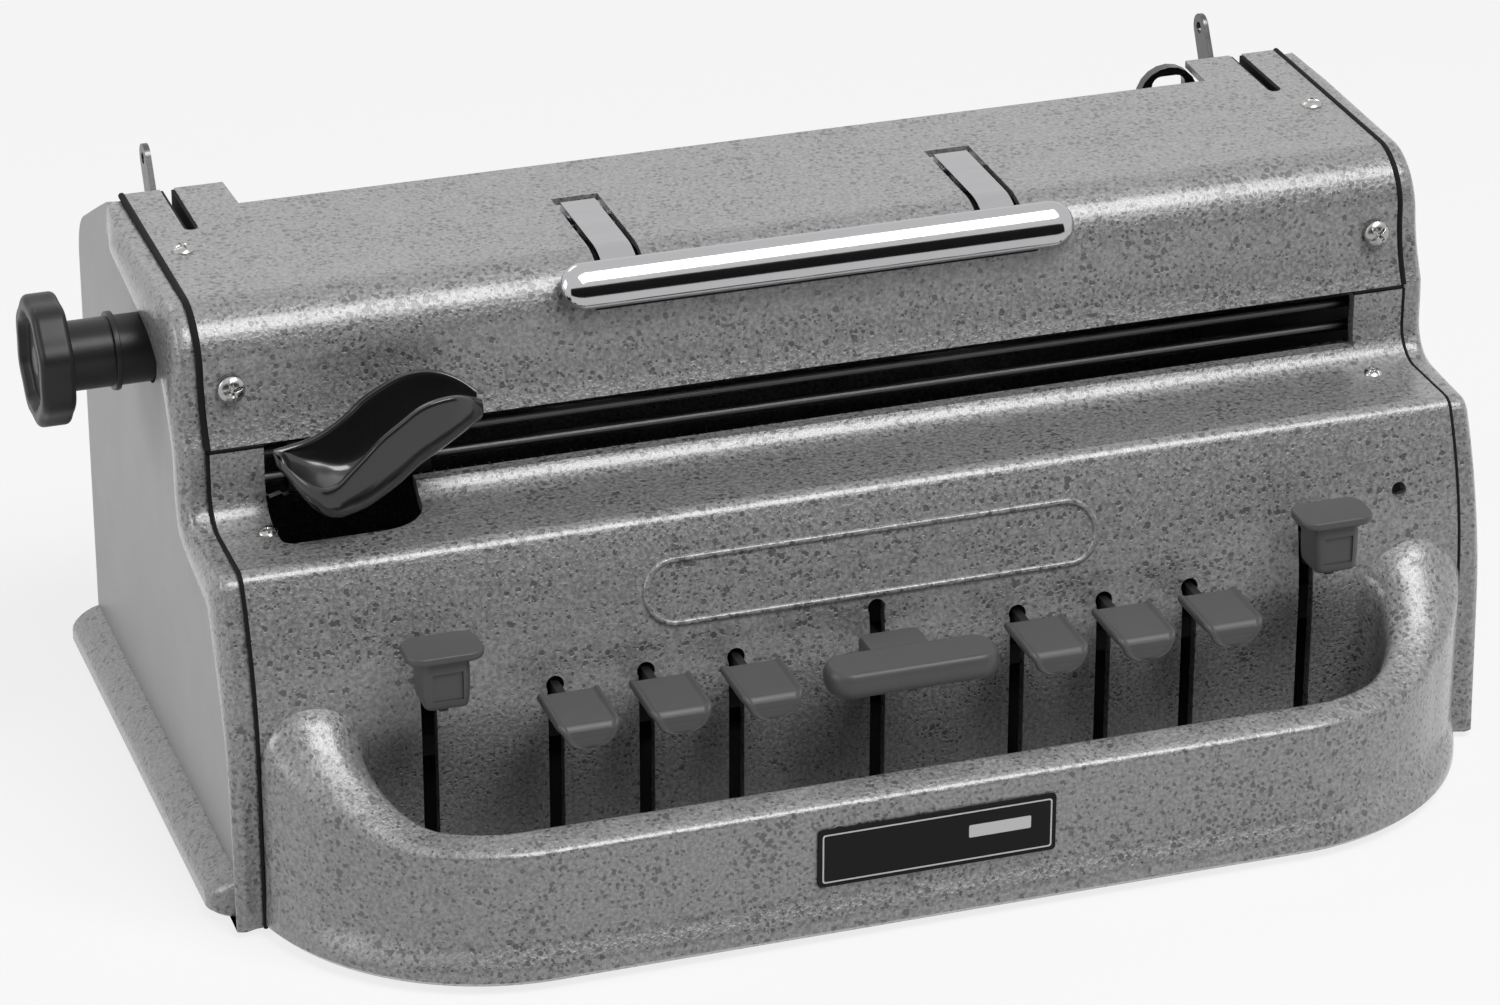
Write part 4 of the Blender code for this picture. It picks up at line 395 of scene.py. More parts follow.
def rail_section(outer, inner, share, flare):
    """One section of the wrist rail: round base band, outer face, crest, inner face and hollow."""
    width = math.dist(outer, inner)
    top = rail_height(share)
    crown = RAIL_CROWN + (HORN_CROWN - RAIL_CROWN) * (top - RAIL_TOP) / (RAIL_HORN - RAIL_TOP)
    half = (width - flare) / 2
    line = [(BAND_FOOT, 0, 0, 0), (0, BAND_FOOT, 0, 0)]
    for i in range(15):
        part = i / 14
        drawn_in = part * part * (3 - 2 * part)
        line.append((flare * drawn_in, BAND_SLOPE_LOW + (BAND_SLOPE_HIGH - BAND_SLOPE_LOW) * part, 0, 0))
    level = ((RAIL_HORN - top) / (RAIL_HORN - RAIL_TOP)) ** CREST_POWER
    square = 2 / (2 + CREST_SQUARE * level)
    for deg in range(180, -1, -6):
        along, up = math.cos(math.radians(deg)), math.sin(math.radians(deg))
        x = half * math.copysign(abs(along) ** square, along)
        lean = CREST_LEAN * (1 - x / half) / 2 * level
        line.append((flare + half + x, top - crown + (crown - lean) * up ** square, max(0, along), up))
    for i in range(1, 6):
        z = top - crown - (top - crown - FLOOR_TOP) * i / 5
        line.append((width, z, 1, 0))
    line += [(width, FLOOR_TOP - FLOOR_T, 0, 0), (width - WALL, FLOOR_TOP - FLOOR_T, 0, 0)]
    line += [(width - WALL, top - crown - WALL, 0, 0), (flare + WALL, top - crown - WALL, 0, 0)]
    line += [(flare + WALL, BASE_BAND, 0, 0), (BAND_FOOT + WALL, 0, 0, 0)]
    ring = []
    for inward, z, toward, upward in line:
        part = inward / width
        y = outer[1] + (inner[1] - outer[1]) * part
        more = swell(y, z)
        part += toward * more / width
        ring.append((outer[0] + (inner[0] - outer[0]) * part, outer[1] + (inner[1] - outer[1]) * part,
                     z + upward * more))
    return ring


def rail_solid(steps=44):
    start_deg = 180 + math.degrees(math.acos((EDGE_X - BASE_CX) / BASE_R))
    left = [((-EDGE_X, RAIL_BACK), (-WELL_X, RAIL_BACK), 0.0, SEAT)]
    outer = arc(-BASE_CX, BASE_CY, BASE_R, start_deg, 270, steps)
    inner = arc(-WELL_X + WELL_R, WELL_Y + WELL_R, WELL_R, 180, 270, steps)
    for i in range(steps + 1):
        share = i / steps
        left.append((outer[i], inner[i], share, SEAT + (BASE_FLARE - SEAT) * min(1, 3 * share)))
    right = [((-o[0], o[1]), (-n[0], n[1]), s, f) for o, n, s, f in reversed(left)]
    return loft([rail_section(*station) for station in left + right])


def well_floor():
    lap = WALL / 2
    points = [(-WELL_X - lap, face_y(0) + WALL / 2)]
    points += arc(-WELL_X + WELL_R, WELL_Y + WELL_R, WELL_R + lap, 180, 270)
    points += arc(WELL_X - WELL_R, WELL_Y + WELL_R, WELL_R + lap, 270, 360)
    points += [(WELL_X + lap, face_y(0) + WALL / 2)]
    return slab("z", points, FLOOR_TOP - FLOOR_T, FLOOR_TOP)


def keyhole(x, hole_z):
    half_deg = math.degrees(math.asin(SLOT_W / 2 / SLOT_HOLE_R))
    points = [(x - SLOT_W / 2, SLOT_LOW), (x + SLOT_W / 2, SLOT_LOW)]
    points += arc(x, hole_z, SLOT_HOLE_R, -90 + half_deg, 270 - half_deg, 20)
    return slab("y", points, FACE_Y - CUT_REACH, FACE_Y + CUT_DEEP)


ENAMEL_IOR, PIT_DEEP = 1.75, 0.0008


def enamel(name, base, speck, cover, gloss):
    """Hammered enamel: a mid grey with small clumped dark specks, fine pits and a wet gloss."""
    plain = {"IOR": ENAMEL_IOR, "Coat Weight": gloss, "Coat Roughness": 0.20}
    made, shader, start = material(name, plain)
    place = start.node("TexCoord", out=3)
    fine = place.node("TexNoise", {}, {"Vector": place, "Scale": 900.0, "Detail": 2.0, "Roughness": 0.6})
    clumps = place.node("TexNoise", {}, {"Vector": place, "Scale": 60.0, "Detail": 1.0, "Roughness": 0.5})
    broad = place.node("TexNoise", {}, {"Vector": place, "Scale": 9.0, "Detail": 2.0, "Roughness": 0.5})
    masks = []
    for scale, size in ((430.0, 0.52), (760.0, 0.50)):
        gap = place.node("TexVoronoi", {}, {"Vector": place, "Scale": scale}, out=0)
        chance = place.node("TexVoronoi", {}, {"Vector": place, "Scale": scale}, out=1)
        reach = (chance - 0.26) * size + (clumps - 0.5) * 0.5 + (fine - 0.5) * 0.6
        masks.append(place.node("MapRange", {}, {0: gap - reach, 1: -0.03, 2: 0.10, 3: cover, 4: 0.0}))
    specks = masks[0].maths("MAXIMUM", masks[0], masks[1])
    grain = place.node("MapRange", {}, {0: fine, 1: 0.35, 2: 0.62, 3: 1 + 0.45 * cover, 4: 1 - 0.38 * cover})
    body = (broad * 0.14 + 0.93) * grain
    light = place.node("CombineColor", {}, {0: body * base, 1: body * base, 2: body * base})
    colours = {0: specks, 6: light, 7: (speck, speck, speck, 1)}
    colour = place.node("Mix", {"data_type": "RGBA"}, colours, out=2)
    rough = specks * 0.12 + (clumps * 0.1 + 0.34)
    relief = fine * 0.6 - specks * 0.4
    bump = place.node("Bump", {}, {"Strength": 0.80 * cover + 0.03, "Distance": PIT_DEEP, "Height": relief})
    joined(shader, {"Base Color": colour, "Roughness": rough, "Normal": bump})
    return made


speckled = enamel("speckled_grey_enamel", 0.215, 0.030, 0.85, 0.90)
front_line = run_together(front_legs(FLOOR_TOP - FLOOR_T))[::-1]
front = solid("front_cover_shell", slab("x", sheet_outline(front_line, WALL), -EDGE_X, EDGE_X))
worked(front, [rail_solid(), well_floor()], "UNION")
notch = arc(-OPEN_X + NOTCH_SMALL_R, NOTCH_FRONT + NOTCH_SMALL_R, NOTCH_SMALL_R, 180, 270, 8)
notch += arc(NOTCH_RIGHT - NOTCH_LARGE_R, NOTCH_FRONT + NOTCH_LARGE_R, NOTCH_LARGE_R, 270, 360, 14)
notch += [(NOTCH_RIGHT, LIP_Y + CUT_REACH), (-OPEN_X, LIP_Y + CUT_REACH)]
tools = [block((-OPEN_X, LIP_Y - POST_FILLET, OPEN_Z), (OPEN_X, LIP_Y + POST_CUT, POST_TOP + CUT_REACH)),
         slab("z", notch, SHELF_Z - POST_CUT, OPEN_Z + CUT_REACH)]
tools += [keyhole(x, DOT_HOLE_Z) for x in DOT_PLACES]
tools += [keyhole(0, SPACE_HOLE_Z), keyhole(-SIDE_KEY_X, SIDE_HOLE_Z), keyhole(SIDE_KEY_X, SIDE_HOLE_Z)]
tools.append(slab("y", circle(*EYE_HOLE, 24), FACE_Y - CUT_REACH, FACE_Y + CUT_DEEP))
worked(front, tools, "DIFFERENCE")
rounded_off(front, COVER_EDGE_R)
placed(front, "housing", speckled, ("front_cover",))

# A raised line frames the bare field on the face where such machines carry a name.
BADGE_X, BADGE_Z, BADGE_R, BADGE_LINE = 0.0620, 0.0770, 0.0080, 0.0009


def node_tree(name, measure, finish):
    """A node tree with one named measure, which ends in real meshes that carry the finish."""
    tree = bpy.data.node_groups.new(name, "GeometryNodeTree")
    tree.interface.new_socket("Geometry", in_out="INPUT", socket_type="NodeSocketGeometry")
    size = tree.interface.new_socket(measure, in_out="INPUT", socket_type="NodeSocketFloat")
    tree.interface.new_socket("Geometry", in_out="OUTPUT", socket_type="NodeSocketGeometry")
    start = tree.nodes.new("NodeGroupInput")
    real = tree.nodes.new("GeometryNodeRealizeInstances")
    paint = tree.nodes.new("GeometryNodeSetMaterial")
    paint.inputs["Material"].default_value = finish
    end = tree.nodes.new("NodeGroupOutput")
    tree.links.new(real.outputs[0], paint.inputs["Geometry"])
    tree.links.new(paint.outputs[0], end.inputs[0])
    return tree, start, real, size.identifier


def grown(name, mesh, tree, size, value):
    """Lets a node tree work on a mesh of points or lines, and returns the plain mesh that it makes."""
    item = added(name, mesh)
    change = item.modifiers.new(name, "NODES")
    change.node_group = tree
    change[size] = value
    return settled(item)


def swept(name, line, radius, finish, closed):
    """Sweeps a round bead along a line of points, and returns it as a plain mesh."""
    tree, start, real, size = node_tree(name, "Bead radius", finish)
    path = tree.nodes.new("GeometryNodeMeshToCurve")
    ring = tree.nodes.new("GeometryNodeCurvePrimitiveCircle")
    ring.inputs["Resolution"].default_value = 12
    skin = tree.nodes.new("GeometryNodeCurveToMesh")
    skin.inputs["Fill Caps"].default_value = True
    tree.links.new(start.outputs["Geometry"], path.inputs[0])
    tree.links.new(start.outputs["Bead radius"], ring.inputs["Radius"])
    tree.links.new(path.outputs[0], skin.inputs["Curve"])
    tree.links.new(ring.outputs["Curve"], skin.inputs["Profile Curve"])
    tree.links.new(skin.outputs[0], real.inputs[0])
    count = len(line)
    pairs = [(i, i + 1) for i in range(count - 1)]
    if closed:
        pairs.append((count - 1, 0))
    mesh = bpy.data.meshes.new(name)
    mesh.from_pydata([Vector(point) + SHIFT for point in line], pairs, [])
    item = grown(name, mesh, tree, size, radius)
    item.data.shade_smooth()
    return item


flat_line = arc(BADGE_X - BADGE_R, BADGE_Z, BADGE_R, -90, 90, 24)
flat_line += arc(-BADGE_X + BADGE_R, BADGE_Z, BADGE_R, 90, 270, 24)
badge_line = [(x, face_y(z), z) for x, z in flat_line]
badge = swept("face_badge_frame", badge_line, BADGE_LINE, speckled, True)
placed(badge, "housing", speckled)


# Top cover
# A pressed sheet rolled over the machine's top and down to the head window, in the same enamel, with
# slots for the handle's straps and the release levers and a shallow bay at the back for the paper.

DECK_Z, TOP_R, TOP_CY, COVER_T, COVER_LIP = 0.1505, 0.0150, 0.0010, 0.0020, 0.0012
TOP_CZ = DECK_Z - TOP_R
EAR_Y, RECESS_Y, RECESS_X, RECESS_SPREAD = 0.0720, 0.0565, 0.1379, 0.0008
RELEASE_X, RELEASE_SLOT_W, RELEASE_SLOT_Y = 0.1537, 0.0038, 0.0430
STRAP_X, STRAP_SLOT_W, STRAP_SLOT_LOW, STRAP_SLOT_BACK = 0.0525, 0.0128, 0.1424, 0.0330
SHEET_EDGE_R = 0.0003


def cover_legs(back_y):
    """The top cover's outer line in legs: the sweep up from its lip, the roll and the deck."""
    drop = TOP_CZ - POST_TOP - COVER_LIP
    out = TOP_CY - TOP_R - LIP_Y
    sweep_r = (drop ** 2 + out ** 2) / (2 * out)
    sweep_deg = math.degrees(math.asin(drop / sweep_r))
    sweep = arc(TOP_CY - TOP_R - sweep_r, TOP_CZ, sweep_r, -sweep_deg, 0, 12)
    roll = arc(TOP_CY, TOP_CZ, TOP_R, 180, 90, 26)
    return [sweep, roll, [roll[-1], (back_y, DECK_Z)]]


top_line = run_together(cover_legs(EAR_Y))[::-1]
top = solid("top_cover_sheet", slab("x", sheet_outline(top_line, COVER_T), -EDGE_X, EDGE_X))
low, high, back = DECK_Z - CUT_REACH, DECK_Z + CUT_REACH, EAR_Y + CUT_REACH
wide = RECESS_X + RECESS_SPREAD
cuts = [slab("z", [(-RECESS_X, RECESS_Y), (RECESS_X, RECESS_Y), (wide, back), (-wide, back)], low, high)]
for side in (-1, 1):
    half = RELEASE_SLOT_W / 2
    x = side * RELEASE_X
    slot = arc(x, RELEASE_SLOT_Y + half, half, 180, 360, 12) + [(x + half, back), (x - half, back)]
    cuts.append(slab("z", slot, low, high))
    x = side * STRAP_X
    half = STRAP_SLOT_W / 2
    cuts.append(block((x - half, TOP_CY - TOP_R - CUT_REACH, STRAP_SLOT_LOW),
                      (x + half, STRAP_SLOT_BACK, high)))
worked(top, cuts, "DIFFERENCE")
rounded_off(top, SHEET_EDGE_R)
placed(top, "housing", speckled, ("top_cover",))


# Side plates
# Two aluminium castings that close the ends. A round bead runs up the front edge and along the deck in
# the speckled enamel; the flat panel inside it is smoother and paler. A flared foot runs along the bottom.

PLATE_IN, PANEL_X, PANEL_T, BEAD_RISE = 0.1664, 0.1704, 0.0042, 0.0030
HALF_DEPTH, DECK_END_Y, BEAD_FADE_FROM = 0.1115, 0.0700, 0.0500
BACK_SHOULDER_Y, BACK_SHOULDER_Z, BACK_CORNER_R = 0.1000, 0.1344, 0.0160
SKIRT_OUT, SKIRT_TOP, SKIRT_MID, SKIRT_FOOT = 0.0079, 0.0105, 0.0040, 0.0010
SKIRT_FRONT, SKIRT_REAR, SKIRT_NOSE = -0.0545, 0.1105, 0.0080
BEAD_LEG_STEPS = (40, 48, 20, 30, 30, 24, 30, 48, 50, 30, 20, 30)
BEAD_FOOT_W, BEAD_FACE_W, BEAD_BROW_IN, BEAD_BROW_DROP = 0.0026, 0.0070, 0.0085, 0.0174
BEAD_FOLD_DROP, BEAD_SHELF_IN, BEAD_SHELF_DROP = 0.0150, 0.0124, 0.0084
BEAD_POST_W, BEAD_POST_RISE, BEAD_TURN_DROP = 0.0130, 0.0070, 0.0015
BEAD_ROLL_IN, BEAD_ROLL_DROP, BEAD_DECK_IN, BEAD_DECK_DROP = 0.0030, 0.0095, 0.0187, 0.0173
BEAD_END_IN, BEAD_END_DROP, BEAD_BACK_W, BEAD_START = 0.0044, 0.0095, 0.0032, 0.00012
GROOVE_DEEP, GROOVE_SHARE = 0.0012, 0.10
SLEEVE_HOLE_R, DRUM_Y, DRUM_Z = 0.0098, 0.0270, 0.1265


def back_legs():
    """The plate's edge behind the deck in legs: the slope, the round corner and the back."""
    slope = math.atan2(DECK_Z - BACK_SHOULDER_Z, BACK_SHOULDER_Y - DECK_END_Y)
    corner_y = HALF_DEPTH - BACK_CORNER_R
    corner_z = (BACK_SHOULDER_Z - (corner_y + BACK_CORNER_R * math.sin(slope) - BACK_SHOULDER_Y)
                * math.tan(slope) - BACK_CORNER_R * math.cos(slope))
    corner = arc(corner_y, corner_z, BACK_CORNER_R, 90 - math.degrees(slope), 0, 20)
    return [[(DECK_END_Y, DECK_Z), corner[0]], corner, [corner[-1], (HALF_DEPTH, 0)]]


def spread_points(points, count):
    """Spaces a number of points evenly along an open line."""
    lengths = [0.0]
    for a, b in zip(points, points[1:]):
        lengths.append(lengths[-1] + math.dist(a, b))
    spaced = []
    leg = 0
    for i in range(count):
        goal = lengths[-1] * i / (count - 1)
        while leg < len(points) - 2 and lengths[leg + 1] < goal:
            leg += 1
        part = (goal - lengths[leg]) / (lengths[leg + 1] - lengths[leg])
        a, b = points[leg], points[leg + 1]
        spaced.append((a[0] + (b[0] - a[0]) * part, a[1] + (b[1] - a[1]) * part))
    return spaced


def bead_lines():
    """The plate's edge and the bead's inner boundary beside it, point for point."""
    legs = front_legs(0) + cover_legs(DECK_END_Y) + back_legs()
    fold_y = legs[2][-1][0]
    corner = legs[10]
    stops = [(face_y(0) + BEAD_FOOT_W, 0), (FACE_Y + BEAD_FACE_W, FACE_Z),
             (fold_y + BEAD_BROW_IN, SHELF_Z - BEAD_BROW_DROP),
             (fold_y + BEAD_BROW_IN, SHELF_Z - BEAD_FOLD_DROP),
             (LIP_Y + BEAD_SHELF_IN, SHELF_Z - BEAD_SHELF_DROP),
             (LIP_Y + BEAD_POST_W, SHELF_Z + BEAD_POST_RISE),
             (LIP_Y + BEAD_POST_W, POST_TOP - BEAD_TURN_DROP),
             (TOP_CY + BEAD_ROLL_IN, TOP_CZ - BEAD_ROLL_DROP),
             (TOP_CY + BEAD_DECK_IN, DECK_Z - BEAD_DECK_DROP),
             (DECK_END_Y + BEAD_END_IN, DECK_Z - BEAD_END_DROP),
             (corner[0][0] - BEAD_BACK_W, corner[0][1] - BEAD_BACK_W),
             (HALF_DEPTH - BEAD_BACK_W, corner[-1][1] - BEAD_BACK_W), (HALF_DEPTH - BEAD_BACK_W, 0)]
    edge = []
    inner = []
    for leg, steps, start, end in zip(legs, BEAD_LEG_STEPS, stops, stops[1:]):
        edge += spread_points(leg, steps + 1)[:-1]
        inner += spread_points([start, end], steps + 1)[:-1]
    edge.append(legs[-1][-1])
    inner.append(stops[-1])
    for _ in range(110):
        middle = [((a[0] + 2 * b[0] + c[0]) / 4, (a[1] + 2 * b[1] + c[1]) / 4)
                  for a, b, c in zip(inner, inner[1:], inner[2:])]
        inner = [inner[0]] + middle + [inner[-1]]
    return edge, inner


def bead_lift(share):
    """The bead's height across it: round at the cover's seam, with a crease at the panel."""
    if share < 0.5:
        return -0.75 + 1.75 * math.sqrt(max(0, 1 - ((0.5 - share) / 0.5) ** 2))
    fall = (share - 0.5) / 0.5
    return math.sqrt(max(0, 1 - fall ** 2.4))


def plate_solid(side, across=30):
    edge, inner = bead_lines()
    rings = [[(side * PLATE_IN, y + (iy - y) / math.dist((y, z), (iy, iz)) * GROOVE_DEEP,
               z + (iz - z) / math.dist((y, z), (iy, iz)) * GROOVE_DEEP)
              for (y, z), (iy, iz) in zip(edge, inner)]]
    for step in range(across + 1):
        share = (1 - math.cos(math.pi * step / across)) / 2
        lift = bead_lift(share)
        sunk = GROOVE_DEEP * max(0, 1 - share / GROOVE_SHARE) ** 2
        ring = []
        for (y, z), (iy, iz) in zip(edge, inner):
            wide = math.dist((y, z), (iy, iz))
            fade = min(1, max(0, (DECK_END_Y - y) / (DECK_END_Y - BEAD_FADE_FROM)))
            out = PANEL_X + (PANEL_T * lift if lift < 0 else BEAD_RISE * lift * fade)
            part = share + sunk / wide
            ring.append((side * out, y + (iy - y) * part, z + (iz - z) * part))
        rings.append(ring)
    return loft(rings)


def skirt_solid(side):
    root = PLATE_IN + PANEL_T / 2
    section = [(root, SKIRT_TOP)]
    for i in range(9):
        turn = math.radians(90 * i / 8)
        section.append((PANEL_X + SKIRT_OUT * math.sin(turn) ** 1.4,
                        SKIRT_MID + (SKIRT_TOP - SKIRT_MID) * math.cos(turn) ** 1.1))
    section += [(PANEL_X + SKIRT_OUT, SKIRT_FOOT), (PANEL_X + SKIRT_OUT - SKIRT_FOOT, SEAT), (root, SEAT)]
    rings = []
    for i in range(13):
        turn = math.radians(90 * i / 12)
        scale = max(math.sin(turn), 0.2)
        y = SKIRT_FRONT + SKIRT_NOSE * (1 - math.cos(turn))
        rings.append([(side * (root + (x - root) * scale), y, z) for x, z in section])
    rings.append([(side * x, SKIRT_REAR, z) for x, z in section])
    return loft(rings)


panel_paint = enamel("smooth_grey_enamel", 0.33, 0.20, 0.05, 0.0)
for side, name in ((-1, "left_side"), (1, "right_side")):
    plate = solid(name + "_casting", plate_solid(side))
    worked(plate, [skirt_solid(side)], "UNION")
    if side < 0:
        hole = slab("x", circle(DRUM_Y, DRUM_Z, SLEEVE_HOLE_R), -PLATE_IN + CUT_REACH, -PANEL_X - CUT_REACH)
        worked(plate, [hole], "DIFFERENCE")
    rounded_off(plate, 0.0)
    placed(plate, "housing", panel_paint, (name + "_plate",))
    plate.data.materials.append(speckled)
    for face in plate.data.polygons:
        if abs(face.center.x - SHIFT.x) > PANEL_X + BEAD_START or abs(face.normal.x) < 0.9:
            face.material_index = 1


# Seams and slot liners
# Painted shade: a black cord fills the groove between the covers and each side plate, a thinner one the joint
# under the top cover, and two black strips line each slot that the paper release lever swings into. They
# stand for the shade in these gaps.

CORD_R, THIN_CORD_R, CORD_SUNK = 0.0009, 0.0006, 0.0004
LINER_IN, LINER_OUT, LINER_LOW, LINER_EDGE_R = 0.0011, 0.0019, 0.1420, 0.0001
# Near-black painted shade for the seams, the joint and the slots: it stands for the dark inside these gaps.
painted_shade_black, shader, start = material("seam_rubber", {"Specular IOR Level": 0.15})
place = start.node("TexCoord", out=3)
grain = place.node("TexNoise", {}, {"Vector": place, "Scale": 700.0, "Detail": 2.0})
tone = grain * 0.008 + 0.004
colour = place.node("CombineColor", {}, {0: tone, 1: tone, 2: tone})
joined(shader, {"Base Color": colour, "Roughness": grain * 0.2 + 0.6})


def sheet_inset(legs, distance):
    """The line of a sheet's legs, moved into the sheet by a distance."""
    points = run_together(legs)
    outline = sheet_outline(points[::-1], distance)
    return outline[len(points):]


for side, name in ((-1, "left"), (1, "right")):
    lower = [(side * EDGE_X, y, z) for y, z in sheet_inset(front_legs(SEAT), CORD_SUNK)]
    upper = [(side * EDGE_X, y, z) for y, z in sheet_inset(cover_legs(EAR_Y), CORD_SUNK)]
    joint = [(side * x, LIP_Y + CORD_SUNK, POST_TOP + THIN_CORD_R) for x in (OPEN_X, EDGE_X)]
    cords = (("front", lower, THIN_CORD_R), ("top", upper, CORD_R), ("joint", joint, THIN_CORD_R))
    # Each cord is a line of painted shade along a seam or joint.
    for part, line, radius in cords:
        cord = swept("seam_cord_" + part + "_" + name, line, radius, painted_shade_black, False)
        placed(cord, "housing", painted_shade_black)
    # Two strips of painted shade line the walls of the release lever's slot.
    for edge in (-1, 1):
        near, far = sorted(side * RELEASE_X + edge * reach for reach in (LINER_IN, LINER_OUT))
        strip = solid("release_slot_liner_" + name + "_" + ("inner" if edge * side < 0 else "outer"),
                      block((near, RELEASE_SLOT_Y, LINER_LOW), (far, EAR_Y - SEAT, DECK_Z - SEAT)))
        rounded_off(strip, LINER_EDGE_R)
        placed(strip, "housing", painted_shade_black)


# Metal, rubber and moulded finishes
# The finishes of the works: plain and blackened steel, nickel and chrome plate, rubber, and the grey and
# black mouldings of keys, knob and thumb lever. Each has its own grain, wear and gloss.

GRAIN_DEEP, BRUSHED, PLAIN = 0.0003, (1, 14, 14), (1, 1, 1)


def finish_of(name, base, rough, metal, grain, wear, bump, stretch=PLAIN, scale=300.0, shine=0.5, coat=0.0):
    """A plain finish with fine grain: tone, gloss and relief all vary a little over the surface."""
    plain = {"Metallic": metal, "Coat Weight": coat, "Coat Roughness": 0.08, "Specular IOR Level": shine}
    made, shader, start = material(name, plain)
    place = start.node("TexCoord", out=3)
    place = start.node("Mapping", {}, {"Vector": place, "Scale": stretch})
    fine = start.node("TexNoise", {}, {"Vector": place, "Scale": scale, "Detail": 3.0, "Roughness": 0.6})
    broad = start.node("TexNoise", {}, {"Vector": place, "Scale": scale / 12, "Detail": 2.0,
                                        "Roughness": 0.5})
    tone = (fine - 0.5) * grain + (broad - 0.5) * (grain + wear) + 1
    colour = start.node("CombineColor", {}, {i: tone * channel for i, channel in enumerate(base)})
    gloss = (broad - 0.5) * (0.25 * rough + wear) + (fine - 0.5) * (0.2 * rough) + rough
    gloss = gloss.maths("MAXIMUM", gloss, 0.03)
    dent = start.node("Bump", {}, {"Strength": bump, "Distance": GRAIN_DEEP, "Height": fine})
    joined(shader, {"Base Color": colour, "Roughness": gloss, "Normal": dent})
    return made


steel = finish_of("satin_steel", (0.34, 0.34, 0.35), 0.34, 1.0, 0.10, 0.10, 0.06, BRUSHED)
dark_steel = finish_of("blackened_steel", (0.032, 0.032, 0.033), 0.45, 0.8, 0.20, 0.10, 0.08)
oiled_steel = finish_of("oiled_steel", (0.115, 0.115, 0.118), 0.30, 1.0, 0.12, 0.12, 0.06, BRUSHED)
chrome = finish_of("chrome_plate", (0.80, 0.80, 0.81), 0.09, 1.0, 0.03, 0.03, 0.01)
# Painted shade: the handle's straps and grip are darker copies of the chrome plate, dimmed to stand for the
# dim room that they mirror; the straps are brushed as well.
strap_chrome_painted_shade = finish_of("brushed_chrome", (0.42, 0.42, 0.43), 0.20, 1.0, 0.06, 0.05, 0.03, BRUSHED)
grip_chrome_painted_shade = finish_of("handle_chrome", (0.46, 0.46, 0.47), 0.09, 1.0, 0.03, 0.03, 0.01)
rubber = finish_of("black_rubber", (0.022, 0.022, 0.022), 0.75, 0.0, 0.25, 0.05, 0.25, PLAIN, 900.0)
key_grey = finish_of("key_moulding", (0.082, 0.082, 0.082), 0.42, 0.0, 0.14, 0.06, 0.05, PLAIN, 700.0, 0.35)
lever_black = finish_of("lever_moulding", (0.016, 0.016, 0.016), 0.20, 0.0, 0.10, 0.05, 0.02, coat=0.3)
knob_black = finish_of("knob_moulding", (0.020, 0.020, 0.020), 0.36, 0.0, 0.15, 0.06, 0.08, PLAIN, 600.0,
                       0.25)
label_black = finish_of("label_black", (0.006, 0.006, 0.006), 0.45, 0.0, 0.20, 0.04, 0.02, shine=0.15)
label_pale = finish_of("label_pale_ink", (0.62, 0.62, 0.62), 0.35, 0.0, 0.04, 0.02, 0.02)


# Works inside and behind
# Pressed, turned and sawn parts that stay as the frame has them, each with its own finish; those listed below
# are copied with their sharp edges broken.

WELD_GAP, WORKS_EDGE_R, FLAT_DEG = 0.000005, 0.00025, 0.6


def softened(node, finish):
    """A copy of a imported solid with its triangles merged, its edges broken and its faces smooth."""
    source = nodes[node]
    bm = bmesh.new()
    bm.from_mesh(source.data)
    bmesh.ops.remove_doubles(bm, verts=bm.verts, dist=WELD_GAP)
    bmesh.ops.dissolve_limit(bm, angle_limit=math.radians(FLAT_DEG), verts=bm.verts, edges=bm.edges)
    item = meshed(node + "_worked", bm)
    rounded_off(item, WORKS_EDGE_R)
    placed(item, source["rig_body"], finish, (node,))
    return item


slot_of = {row["node"]: row["material_slot"] for row in frame["record"]["subparts"]}
FINISHES = {"speckled_enamel": speckled, "side_enamel": panel_paint, "bare_steel": steel,
            "blackened_steel": dark_steel, "chrome_plate": chrome, "black_rubber": rubber,
            "key_plastic": key_grey, "black_label": label_black, "knob_plastic": knob_black,
            "lever_plastic": lever_black}
SOFTENED = ("rear_cover", "base_pan", "edge_guide", "release_lever_left", "release_lever_right", "head_block",
            "paper_table", "reading_rest", "left_margin_stop", "right_margin_stop", "handle_hanger_left",
            "handle_hanger_right", "margin_bar", "foot_front_left", "foot_front_right", "foot_rear_left",
            "foot_rear_right")
OILED = [node for node in nodes if node.startswith(("head_r", "release_l", "edge_g")) or "rod" in node]
for node in SOFTENED:
    softened(node, oiled_steel if node in OILED else FINISHES[slot_of[node]])
for node, item in nodes.items():
    item.data.materials.clear()
    item.data.materials.append(oiled_steel if node in OILED else FINISHES[slot_of[node]])


# Carrying handle
# A chromed bar that lies along the cover's front on two chromed spring straps; they swing up on pins
# under the deck.

HANDLE_Y, HANDLE_Z, STRAP_W, STRAP_T, GRIP_DEG = 0.0280, 0.1463, 0.0095, 0.0016, 146.0
GRIP_HIGH, GRIP_DEEP, GRIP_HALF = 0.0062, 0.0036, 0.0707
STRAP_EYE_R, STRAP_BORE_R, STRAP_TAIL = 0.0033, 0.0021, 0.002
for name, side in (("left", -1), ("right", 1)):
    x = side * STRAP_X
    line = [(HANDLE_Y + STRAP_TAIL, DECK_Z)] + arc(TOP_CY, TOP_CZ, TOP_R, 90, GRIP_DEG, 22)
    low, high = x - STRAP_W / 2, x + STRAP_W / 2
    strap = solid("handle_strap_" + name + "_plated", slab("x", sheet_outline(line, STRAP_T), low, high))
    worked(strap, [slab("x", circle(HANDLE_Y, HANDLE_Z, STRAP_EYE_R), low, high)], "UNION")
    bore = slab("x", circle(HANDLE_Y, HANDLE_Z, STRAP_BORE_R), low - CUT_REACH, high + CUT_REACH)
    worked(strap, [bore], "DIFFERENCE")
    rounded_off(strap, SHEET_EDGE_R)
    placed(strap, "handle", strap_chrome_painted_shade, ("handle_strap_" + name,))

